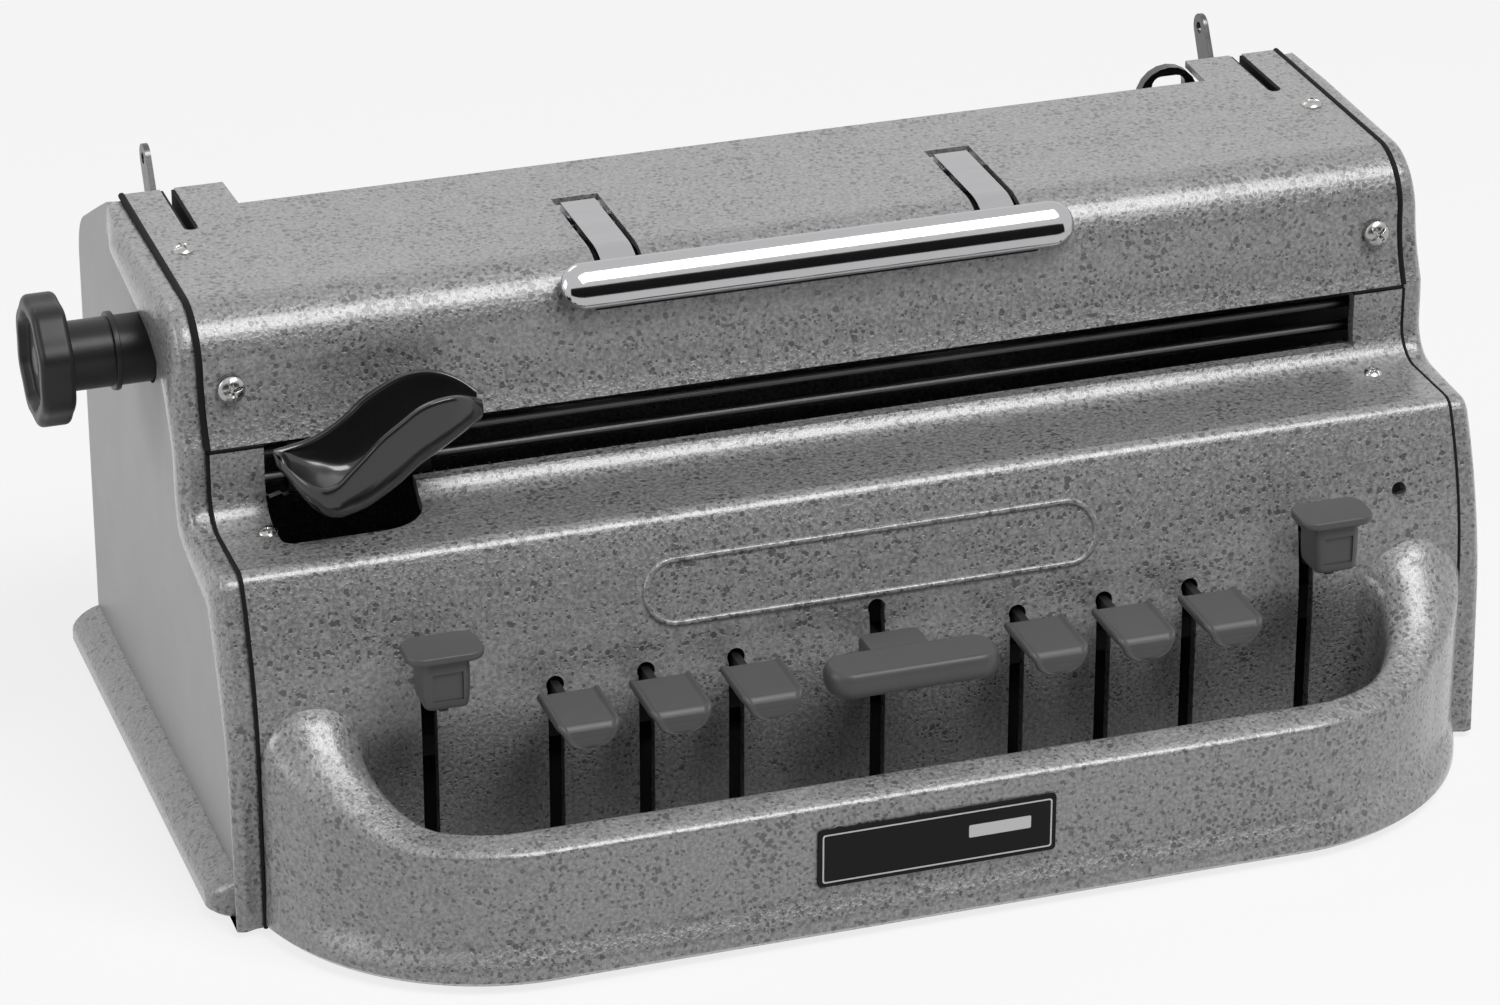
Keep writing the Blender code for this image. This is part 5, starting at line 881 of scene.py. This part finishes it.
angle = math.radians(GRIP_DEG)
grip_r = TOP_R + SEAT + GRIP_DEEP
cy, cz = TOP_CY + grip_r * math.cos(angle), TOP_CZ + grip_r * math.sin(angle)
rings = []
stations = [(-1, 90 * i / 14) for i in range(1, 15)] + [(1, 90 - 90 * i / 14) for i in range(14)]
for end, deg in stations:
    scale = math.sin(math.radians(deg))
    x = end * (GRIP_HALF - GRIP_HIGH * (1 - math.cos(math.radians(deg))))
    ring = []
    for i in range(40):
        turn = 2 * math.pi * i / 40
        deep = GRIP_DEEP * scale * math.cos(turn)
        rise = GRIP_HIGH * scale * math.sin(turn)
        ring.append((x, cy + deep * math.cos(angle) - rise * math.sin(angle),
                     cz + deep * math.sin(angle) + rise * math.cos(angle)))
    rings.append(ring)
grip = solid("handle_grip_bar", loft(rings))
rounded_off(grip, 0.0)
placed(grip, "handle", grip_chrome_painted_shade, ("handle_grip",))

# Painted shadow: a black cord on the roll along the grip's lower edge, which stands for the shadow line
# beneath the grip.
SHADOW_CORD_DEG, SHADOW_CORD_R, SHADOW_CORD_LIFT, SHADOW_CORD_HALF = 165.0, 0.0010, 0.0003, 0.0610
angle = math.radians(SHADOW_CORD_DEG)
reach = TOP_R + SHADOW_CORD_LIFT
cy, cz = TOP_CY + reach * math.cos(angle), TOP_CZ + reach * math.sin(angle)
line = [(side * SHADOW_CORD_HALF, cy, cz) for side in (-1, 0, 1)]
placed(swept("handle_rest_cord", line, SHADOW_CORD_R, painted_shade_black, False), "housing", painted_shade_black)


# Feed knob
# A moulded knob with eight soft lobes and a dished face, on a sleeve with a collar, pinned to the shaft.

KNOB_LOBES, KNOB_LOBE_SHARE = 8, 0.055
COLLAR_X, COLLAR_T, COLLAR_R, SLEEVE_R, SLEEVE_IN, SLEEVE_LAP = 0.1800, 0.0016, 0.0104, 0.0092, 0.1640, 0.002
KNOB_IN, KNOB_OUT, KNOB_R, KNOB_EDGE, FEED_BORE_R = 0.1928, 0.2018, 0.0174, 0.0018, 0.0041
KNOB_FACE = ((0.0, 0.0137), (0.0006, 0.0131), (0.0020, 0.0126), (0.0026, 0.0118), (0.0026, 0.0045),
             (0.0016, 0.0038), (0.0016, 0.0002))


def turned_x(stations, sides=96, lobes=0, lobe_share=0.0):
    rings = []
    for x, r in stations:
        ring = []
        for i in range(sides):
            angle = 2 * math.pi * i / sides
            wave = 1 - lobe_share * (0.5 + 0.5 * math.cos(lobes * angle)) if lobes else 1
            ring.append((x, DRUM_Y + r * wave * math.cos(angle), DRUM_Z + r * wave * math.sin(angle)))
        rings.append(ring)
    return loft(rings)


rim = [(-KNOB_IN - KNOB_EDGE * (1 - math.sin(t)), KNOB_R - KNOB_EDGE * (1 - math.cos(t)))
       for t in [math.radians(90 - 15 * i) for i in range(7)]]
rim += [(-KNOB_OUT + KNOB_EDGE * (1 - math.sin(t)), KNOB_R - KNOB_EDGE * (1 - math.cos(t)))
        for t in [math.radians(15 * i) for i in range(7)]]
rim += [(deep - KNOB_OUT, r) for deep, r in KNOB_FACE]
near, far = COLLAR_T / 2 - COLLAR_X, -COLLAR_T / 2 - COLLAR_X
sleeve = [(-SLEEVE_IN, SLEEVE_R), (near, SLEEVE_R), (near, COLLAR_R), (far, COLLAR_R), (far, SLEEVE_R)]
sleeve.append((-KNOB_IN - SLEEVE_LAP, SLEEVE_R))
knob = solid("feed_knob_moulding", turned_x(sleeve, 64))
worked(knob, [turned_x(rim, 160, KNOB_LOBES, KNOB_LOBE_SHARE)], "UNION")
bore = slab("x", circle(DRUM_Y, DRUM_Z, FEED_BORE_R), -KNOB_IN - SEAT, -SLEEVE_IN + CUT_REACH)
worked(knob, [bore], "DIFFERENCE")
rounded_off(knob, WORKS_EDGE_R, 42)
placed(knob, "feed", knob_black, ("feed_knob",))


# Thumb lever
# The head's lever: a glossy moulded scoop, S-shaped seen from the front, which the thumb pushes or lifts
# to slide the embossing head. It turns on a pin in the head's lugs.

HEAD_X, PIVOT_Y, PIVOT_Z, LUG_R, STEM_HALF, STEM_EYE_R = -0.1250, -0.0162, 0.1075, 0.0024, 0.0020, 0.0013
STEM_ARM = ((-0.0250, 0.1124), (-0.0370, 0.1145), (-0.0370, 0.1121), (-0.0250, 0.1076))
SCOOP = (
    (-150.5, -31.5, 117.0, -24.8, 117.6, 3.0), (-147, -40.0, 115.0, -24.2, 117.8, 5.4),
    (-143, -44.5, 113.6, -24.0, 118.4, 8.0), (-139, -45.5, 114.4, -24.0, 119.6, 10.5),
    (-135, -45.5, 117.8, -24.0, 121.6, 13.7), (-131, -45.5, 121.5, -24.0, 124.3, 16.5),
    (-127, -45.5, 125.3, -24.3, 127.9, 18.3), (-122, -45.5, 128.9, -24.6, 131.0, 18.5),
    (-117, -45.5, 132.3, -25.0, 133.4, 17.8), (-112, -45.3, 133.8, -25.5, 134.3, 16.3),
    (-107, -44.5, 133.8, -27.0, 134.0, 13.7), (-102.5, -42.5, 132.0, -29.0, 132.3, 10.3),
    (-99, -39.5, 129.5, -31.5, 129.9, 7.0),
)
SCOOP_RIM, SCOOP_FLOOR = 0.0022, 0.0022


def curve_through(points, per, looped=False):
    """More points on a smooth line through the given ones."""
    count = len(points)
    line = []
    for i in range(count if looped else count - 1):
        four = []
        for k in (-1, 0, 1, 2):
            j = i + k
            four.append(points[j % count if looped else min(max(j, 0), count - 1)])
        for step in range(per):
            t = step / per
            line.append(tuple(0.5 * (2 * b + (c - a) * t + (2 * a - 5 * b + 4 * c - d) * t * t
                                     + (3 * b - a - 3 * c + d) * t ** 3) for a, b, c, d in zip(*four)))
    if not looped:
        line.append(points[-1])
    return line


def scoop_section(x, front_y, front_z, back_y, back_z, deep, hollow):
    rim = SCOOP_RIM
    well = (deep - SCOOP_FLOOR) * hollow
    half = [(0, rim / 2), (rim / 2, 0), (rim, rim / 3), (rim, well / 2), (2 * rim, well)]
    under = [(2 * rim, deep), (0, deep * 0.6)]
    line = [(front_y + along, front_z - down) for along, down in half]
    line += [(back_y - along, back_z - down) for along, down in half[::-1] + under[::-1]]
    line += [(front_y + along, front_z - down) for along, down in under]
    return [(x, y, z) for y, z in curve_through(line, 4, True)]


rings = []
for i, values in enumerate(curve_through(SCOOP, 6)):
    x, fy, fz, by, bz, deep = [value / 1000 for value in values]
    rings.append(scoop_section(x, fy, fz, by, bz, deep, min(1, 0.15 + i / 6)))
scoop = solid("thumb_lever_moulding", loft(rings))
stem = arc(PIVOT_Y, PIVOT_Z, LUG_R, -75, 75, 12) + list(STEM_ARM)
worked(scoop, [slab("x", stem, HEAD_X - STEM_HALF, HEAD_X + STEM_HALF)], "UNION")
eye = slab("x", circle(PIVOT_Y, PIVOT_Z, STEM_EYE_R, 24), HEAD_X - CUT_REACH, HEAD_X + CUT_REACH)
worked(scoop, [eye], "DIFFERENCE")
rounded_off(scoop, 0.0, 60)
placed(scoop, "thumb_lever", lever_black, ("head_lever",))


# Keys
# Six dot keys, the space bar, the line key and the back key: grey mouldings pushed on flat steel levers
# that come out of the slots in the face.

DOT_TOP, CAP_W, CAP_BACK, CAP_FRONT, CAP_T = 0.0622, 0.0168, -0.0735, -0.0935, 0.0024
CAP_LIP, CAP_CHIN, CAP_BEND_R, CAP_CORE_W, CAP_EDGE = 0.0036, 0.0070, 0.0030, 0.0080, 0.0008
CAP_BEND_SHARE, CAP_TIP_SHARE = 0.84, 0.36
CAP_RIM = ((0.0, 0.0), (0.0001, 0.45), (0.0004, 0.85), (0.0008, 1.0), (0.0012, 1.0), (0.0016, 0.65),
           (0.0024, 0.45))
CAP_UNDER = ((0.0003, -0.7), (0.0008, -1.0))
SPACE_TOP, SPACE_BACK, SPACE_FRONT, SPACE_T = 0.0645, -0.0800, -0.0945, 0.0070
SPACE_HALF, SPACE_CORNER_R, SPACE_EDGE = 0.0235, 0.0065, 0.0018
STEM_W, STEM_BACK, STEM_LAP, STEM_CORNER_R, STEM_T, STEM_EDGE = 0.0170, -0.0690, 0.0026, 0.002, 0.0050, 0.0008
SIDE_TOP, SIDE_BACK, SIDE_FRONT = 0.0815, -0.0690, -0.0815
SIDE_PLATE_W, SIDE_PLATE_T, SIDE_PLATE_OVER = 0.0205, 0.0022, 0.0013
SIDE_PLATE_CORNER_R, SIDE_PLATE_EDGE = 0.0045, 0.0006
SIDE_BLOCK_W, SIDE_BLOCK_LOW, SIDE_BLOCK_CORNER_R, SIDE_BLOCK_EDGE = 0.0126, 0.0660, 0.0026, 0.0008
SUNK_HALF, SUNK_DEEP, SUNK_LOW, SUNK_TOP = 0.0040, 0.0007, 0.0683, 0.0762


def rounded(x0, y0, x1, y1, r, steps=8):
    points = arc(x1 - r, y0 + r, r, -90, 0, steps) + arc(x1 - r, y1 - r, r, 0, 90, steps)
    return points + arc(x0 + r, y1 - r, r, 90, 180, steps) + arc(x0 + r, y0 + r, r, 180, 270, steps)


def shrunk(points, distance):
    moved = []
    count = len(points)
    for i, (x, y) in enumerate(points):
        before, after = points[i - 1], points[(i + 1) % count]
        length = math.dist(before, after)
        moved.append((x - (after[1] - before[1]) / length * distance,
                      y + (after[0] - before[0]) / length * distance))
    return moved


def cushion(plan, top, thick, inset):
    """A moulded pad: a plan drawn in at top and bottom with a round edge."""
    rings = []
    for i in range(13):
        turn = math.radians(180 * i / 12)
        pull = inset * (1 - math.sin(turn))
        drop = thick * (0.5 + 0.5 * math.cos(turn))
        rings.append([(px, py, top - drop) for px, py in shrunk(plan, pull)])
    return loft(rings)


def cap_path():
    """Stations of a dot key's plate and chin: middle y and z, lean in degrees, width share, thickness."""
    half = CAP_T / 2
    inner = CAP_BEND_R - half
    stations = []
    for deg in range(0, 91, 15):
        lift = math.sin(math.radians(deg))
        y = CAP_BACK - CAP_EDGE * (1 - math.cos(math.radians(90 - deg)))
        stations.append((y, DOT_TOP - half, 90, 1 - 0.10 * (1 - lift) ** 2, max(lift, 0.15)))
    for i in range(1, 9):
        y = CAP_BACK - CAP_EDGE + (CAP_FRONT + CAP_BEND_R - CAP_BACK + CAP_EDGE) * i / 9
        stations.append((y, DOT_TOP - half, 90, 1, 1))
    for lean_deg in range(90, 181, 10):
        turn = math.radians(lean_deg)
        share = 1 - (1 - CAP_BEND_SHARE) * ((lean_deg - 90) / 90) ** 1.5
        ridge = 1 + 0.22 * max(0, math.sin(math.radians((lean_deg - 90) * 6)))
        stations.append((CAP_FRONT + CAP_BEND_R + inner * math.cos(turn),
                         DOT_TOP - CAP_BEND_R + inner * math.sin(turn), lean_deg, share, ridge))
    drop = CAP_CHIN - CAP_BEND_R
    for i in range(1, 13):
        part = i / 12
        drawn_in = 1 - math.sqrt(1 - part ** 2)
        share = CAP_BEND_SHARE - (CAP_BEND_SHARE - CAP_TIP_SHARE) * drawn_in - 0.10 * part
        ridge = 1 + 0.2 * max(0, math.sin(6 * math.pi * part)) * (1 - part)
        thick = math.sqrt(max(0.03, 1 - part ** 6)) * ridge
        stations.append((CAP_FRONT + half, DOT_TOP - CAP_BEND_R - drop * part, 180, share, thick))
    return stations


def dot_cap(x):
    """A moulded key top: a thin dished plate with a raised rim, whose front turns down as a ridged chin."""
    rings = []
    for y, z, lean_deg, share, thick in cap_path():
        half = CAP_W / 2 * share
        section = [(half - inset, CAP_T / 2 * min(rise * thick, 0.98)) for inset, rise in CAP_RIM]
        section += [(-across, high) for across, high in reversed(section)]
        under = [(half - inset, CAP_T / 2 * rise * min(thick, 1)) for inset, rise in CAP_UNDER]
        section += [(-across, high) for across, high in under] + under[::-1]
        rings.append([(x + across, y + math.cos(math.radians(lean_deg)) * high,
                       z + math.sin(math.radians(lean_deg)) * high) for across, high in section])
    return loft(rings)


for i, x in enumerate(DOT_PLACES):
    name = "dot_key_" + str(i + 1)
    cap = solid(name + "_top", dot_cap(x))
    half = CAP_CORE_W / 2
    core = block((x - half, CAP_FRONT + 2 * CAP_T, DOT_TOP - CAP_LIP),
                 (x + half, CAP_BACK - CAP_T, DOT_TOP - CAP_T / 2))
    worked(cap, [core], "UNION")
    rounded_off(cap, 0.0, 50)
    placed(cap, name, key_grey, (name + "_cap",))

plan = rounded(-SPACE_HALF, SPACE_FRONT, SPACE_HALF, SPACE_BACK, SPACE_CORNER_R)
space = solid("space_bar", cushion(plan, SPACE_TOP, SPACE_T, SPACE_EDGE))
plan = rounded(-STEM_W / 2, SPACE_BACK - STEM_LAP, STEM_W / 2, STEM_BACK, STEM_CORNER_R)
worked(space, [cushion(plan, SPACE_TOP - SPACE_EDGE, STEM_T, STEM_EDGE)], "UNION")
rounded_off(space, 0.0, 50)
placed(space, "space_key", key_grey, ("space_key_cap",))
for name, x in (("line_key", -SIDE_KEY_X), ("back_key", SIDE_KEY_X)):
    half = SIDE_PLATE_W / 2
    plan = rounded(x - half, SIDE_FRONT - SIDE_PLATE_OVER, x + half, SIDE_BACK, SIDE_PLATE_CORNER_R)
    cap = solid(name + "_top", cushion(plan, SIDE_TOP, SIDE_PLATE_T, SIDE_PLATE_EDGE))
    half = SIDE_BLOCK_W / 2
    plan = rounded(x - half, SIDE_FRONT, x + half, SIDE_BACK, SIDE_BLOCK_CORNER_R)
    top_z = SIDE_TOP - SIDE_PLATE_T / 2
    worked(cap, [cushion(plan, top_z, top_z - SIDE_BLOCK_LOW, SIDE_BLOCK_EDGE)], "UNION")
    sunk = block((x - SUNK_HALF, SIDE_FRONT - SUNK_DEEP, SUNK_LOW),
                 (x + SUNK_HALF, SIDE_FRONT + SUNK_DEEP, SUNK_TOP))
    worked(cap, [sunk], "DIFFERENCE")
    rounded_off(cap, 0.0, 50)
    placed(cap, name, key_grey, (name + "_cap",))


# Label plate
# A thin black plate on the rail's front, held by its own glue. It is bare: a thin pale border and one
# empty pale field.

LABEL_W, LABEL_H, LABEL_T, LABEL_Z, LABEL_CORNER = 0.0650, 0.0165, 0.0008, 0.0212, 0.0012
LABEL_EDGE_R, INK_T = 0.0002, 0.00004
BORDER_IN, BORDER_W, BORDER_R = 0.0012, 0.0004, 0.0008
FIELD = (0.0085, 0.0206, 0.0255, 0.0242, 0.0004)
label_front = BASE_CY - BASE_R + BASE_FLARE - SEAT
face = label_front - LABEL_T


def label_outline(inset, r):
    """The label's outline, drawn in by a distance."""
    x, z = LABEL_W / 2 - inset, LABEL_H / 2 - inset
    return rounded(-x, LABEL_Z - z, x, LABEL_Z + z, r)


label = solid("label_plate_bare", slab("y", label_outline(0, LABEL_CORNER), face, label_front))
rounded_off(label, LABEL_EDGE_R)
placed(label, "housing", label_black, ("label_plate",))
border = solid("label_border", slab("y", label_outline(BORDER_IN, BORDER_R), face - INK_T, face))
hollow = label_outline(BORDER_IN + BORDER_W, BORDER_R - BORDER_W / 2)
worked(border, [slab("y", hollow, face - CUT_REACH, face + CUT_REACH)], "DIFFERENCE")
rounded_off(border, 0.0)
placed(border, "housing", label_pale)
field = solid("label_field", slab("y", rounded(*FIELD), face - INK_T, face))
rounded_off(field, 0.0)
placed(field, "housing", label_pale)


# Screws
# Nickelled round-head screws with a cross recess hold the covers to the frame.

SCREW_R, SCREW_SUNK, SCREW_LIP, SCREW_RISE, RECESS_W = 0.0031, 0.0008, 0.0002, 0.0013, 0.0007
DOME_SHARES = ((0.5, 0.9), (0.85, 0.62), (1.0, 0.3))
RECESS_SHARE, RECESS_FLOOR_SHARE, RECESS_OVER = 0.62, 0.35, 0.001
SCREWS = (
    ((-0.1590, 0.0310, DECK_Z), (0, 0, 1), 1.0, 20), ((0.1590, 0.0310, DECK_Z), (0, 0, 1), 1.0, 65),
    ((-0.1585, -0.0160, 0.1310), (0, -1, 0.1), 1.15, 10), ((0.1585, -0.0160, 0.1310), (0, -1, 0.1), 1.15, 40),
    ((-0.1535, -0.0290, 0.0961), (0, -0.3, 1), 0.8, 0), ((0.1535, -0.0290, 0.0961), (0, -0.3, 1), 0.8, 30),
)


def screw_head():
    """One head of unit size that points up: a low dome with a cross cut into it."""
    stations = [(-SCREW_SUNK, SCREW_R), (SCREW_LIP, SCREW_R)]
    stations += [(SCREW_RISE * up, SCREW_R * out) for up, out in DOME_SHARES]
    item = solid("screw_head", loft([[(x, y, z) for x, y in circle(0, 0, r, 24)] for z, r in stations]))
    item.data.transform(Matrix.Translation(-SHIFT))
    cross = []
    for wide, deep in ((SCREW_R * RECESS_SHARE, RECESS_W / 2), (RECESS_W / 2, SCREW_R * RECESS_SHARE)):
        floor_z = SCREW_RISE * RECESS_FLOOR_SHARE
        tool = block((-wide, -deep, floor_z), (wide, deep, SCREW_RISE + RECESS_OVER))
        bmesh.ops.translate(tool, verts=tool.verts, vec=-SHIFT)
        cross.append(tool)
    worked(item, cross, "DIFFERENCE")
    return rounded_off(item, 0.0, 40)


def scattered(name, places, head, finish):
    """Puts a screw at every place, turned to the surface, and returns them as one plain mesh."""
    tree, start, real, size = node_tree(name, "Head size", finish)
    model = tree.nodes.new("GeometryNodeObjectInfo")
    model.inputs["Object"].default_value = head
    product = tree.nodes.new("ShaderNodeMath")
    product.operation = "MULTIPLY"
    spread = tree.nodes.new("GeometryNodeInstanceOnPoints")
    mesh = bpy.data.meshes.new(name)
    mesh.from_pydata([Vector(spot) + SHIFT for spot, _, _, _ in places], [], [])
    sockets = (("turn", "FLOAT_VECTOR", spread.inputs["Rotation"]), ("grow", "FLOAT", product.inputs[0]))
    for label_name, kind, socket in sockets:
        mesh.attributes.new(label_name, kind, "POINT")
        stored = tree.nodes.new("GeometryNodeInputNamedAttribute")
        stored.data_type = kind
        stored.inputs["Name"].default_value = label_name
        tree.links.new(stored.outputs["Attribute"], socket)
    tree.links.new(start.outputs["Geometry"], spread.inputs["Points"])
    tree.links.new(model.outputs["Geometry"], spread.inputs["Instance"])
    tree.links.new(start.outputs["Head size"], product.inputs[1])
    tree.links.new(product.outputs[0], spread.inputs["Scale"])
    tree.links.new(spread.outputs[0], real.inputs[0])
    for i, (_, way, scale, spin) in enumerate(places):
        lean = Vector(way).to_track_quat("Z", "Y").to_matrix() @ Matrix.Rotation(math.radians(spin), 3, "Z")
        mesh.attributes["turn"].data[i].vector = lean.to_euler()
        mesh.attributes["grow"].data[i].value = scale
    return grown(name, mesh, tree, size, 1.0)


nickel = finish_of("nickel_plate", (0.40, 0.40, 0.39), 0.26, 1.0, 0.08, 0.08, 0.03)
head = screw_head()
screws = scattered("cover_screws", SCREWS, head, nickel)
bpy.data.objects.remove(head, do_unlink=True)
screws.data.shade_smooth()
screws.data.set_sharp_from_angle(angle=math.radians(40))
placed(screws, "housing", nickel)
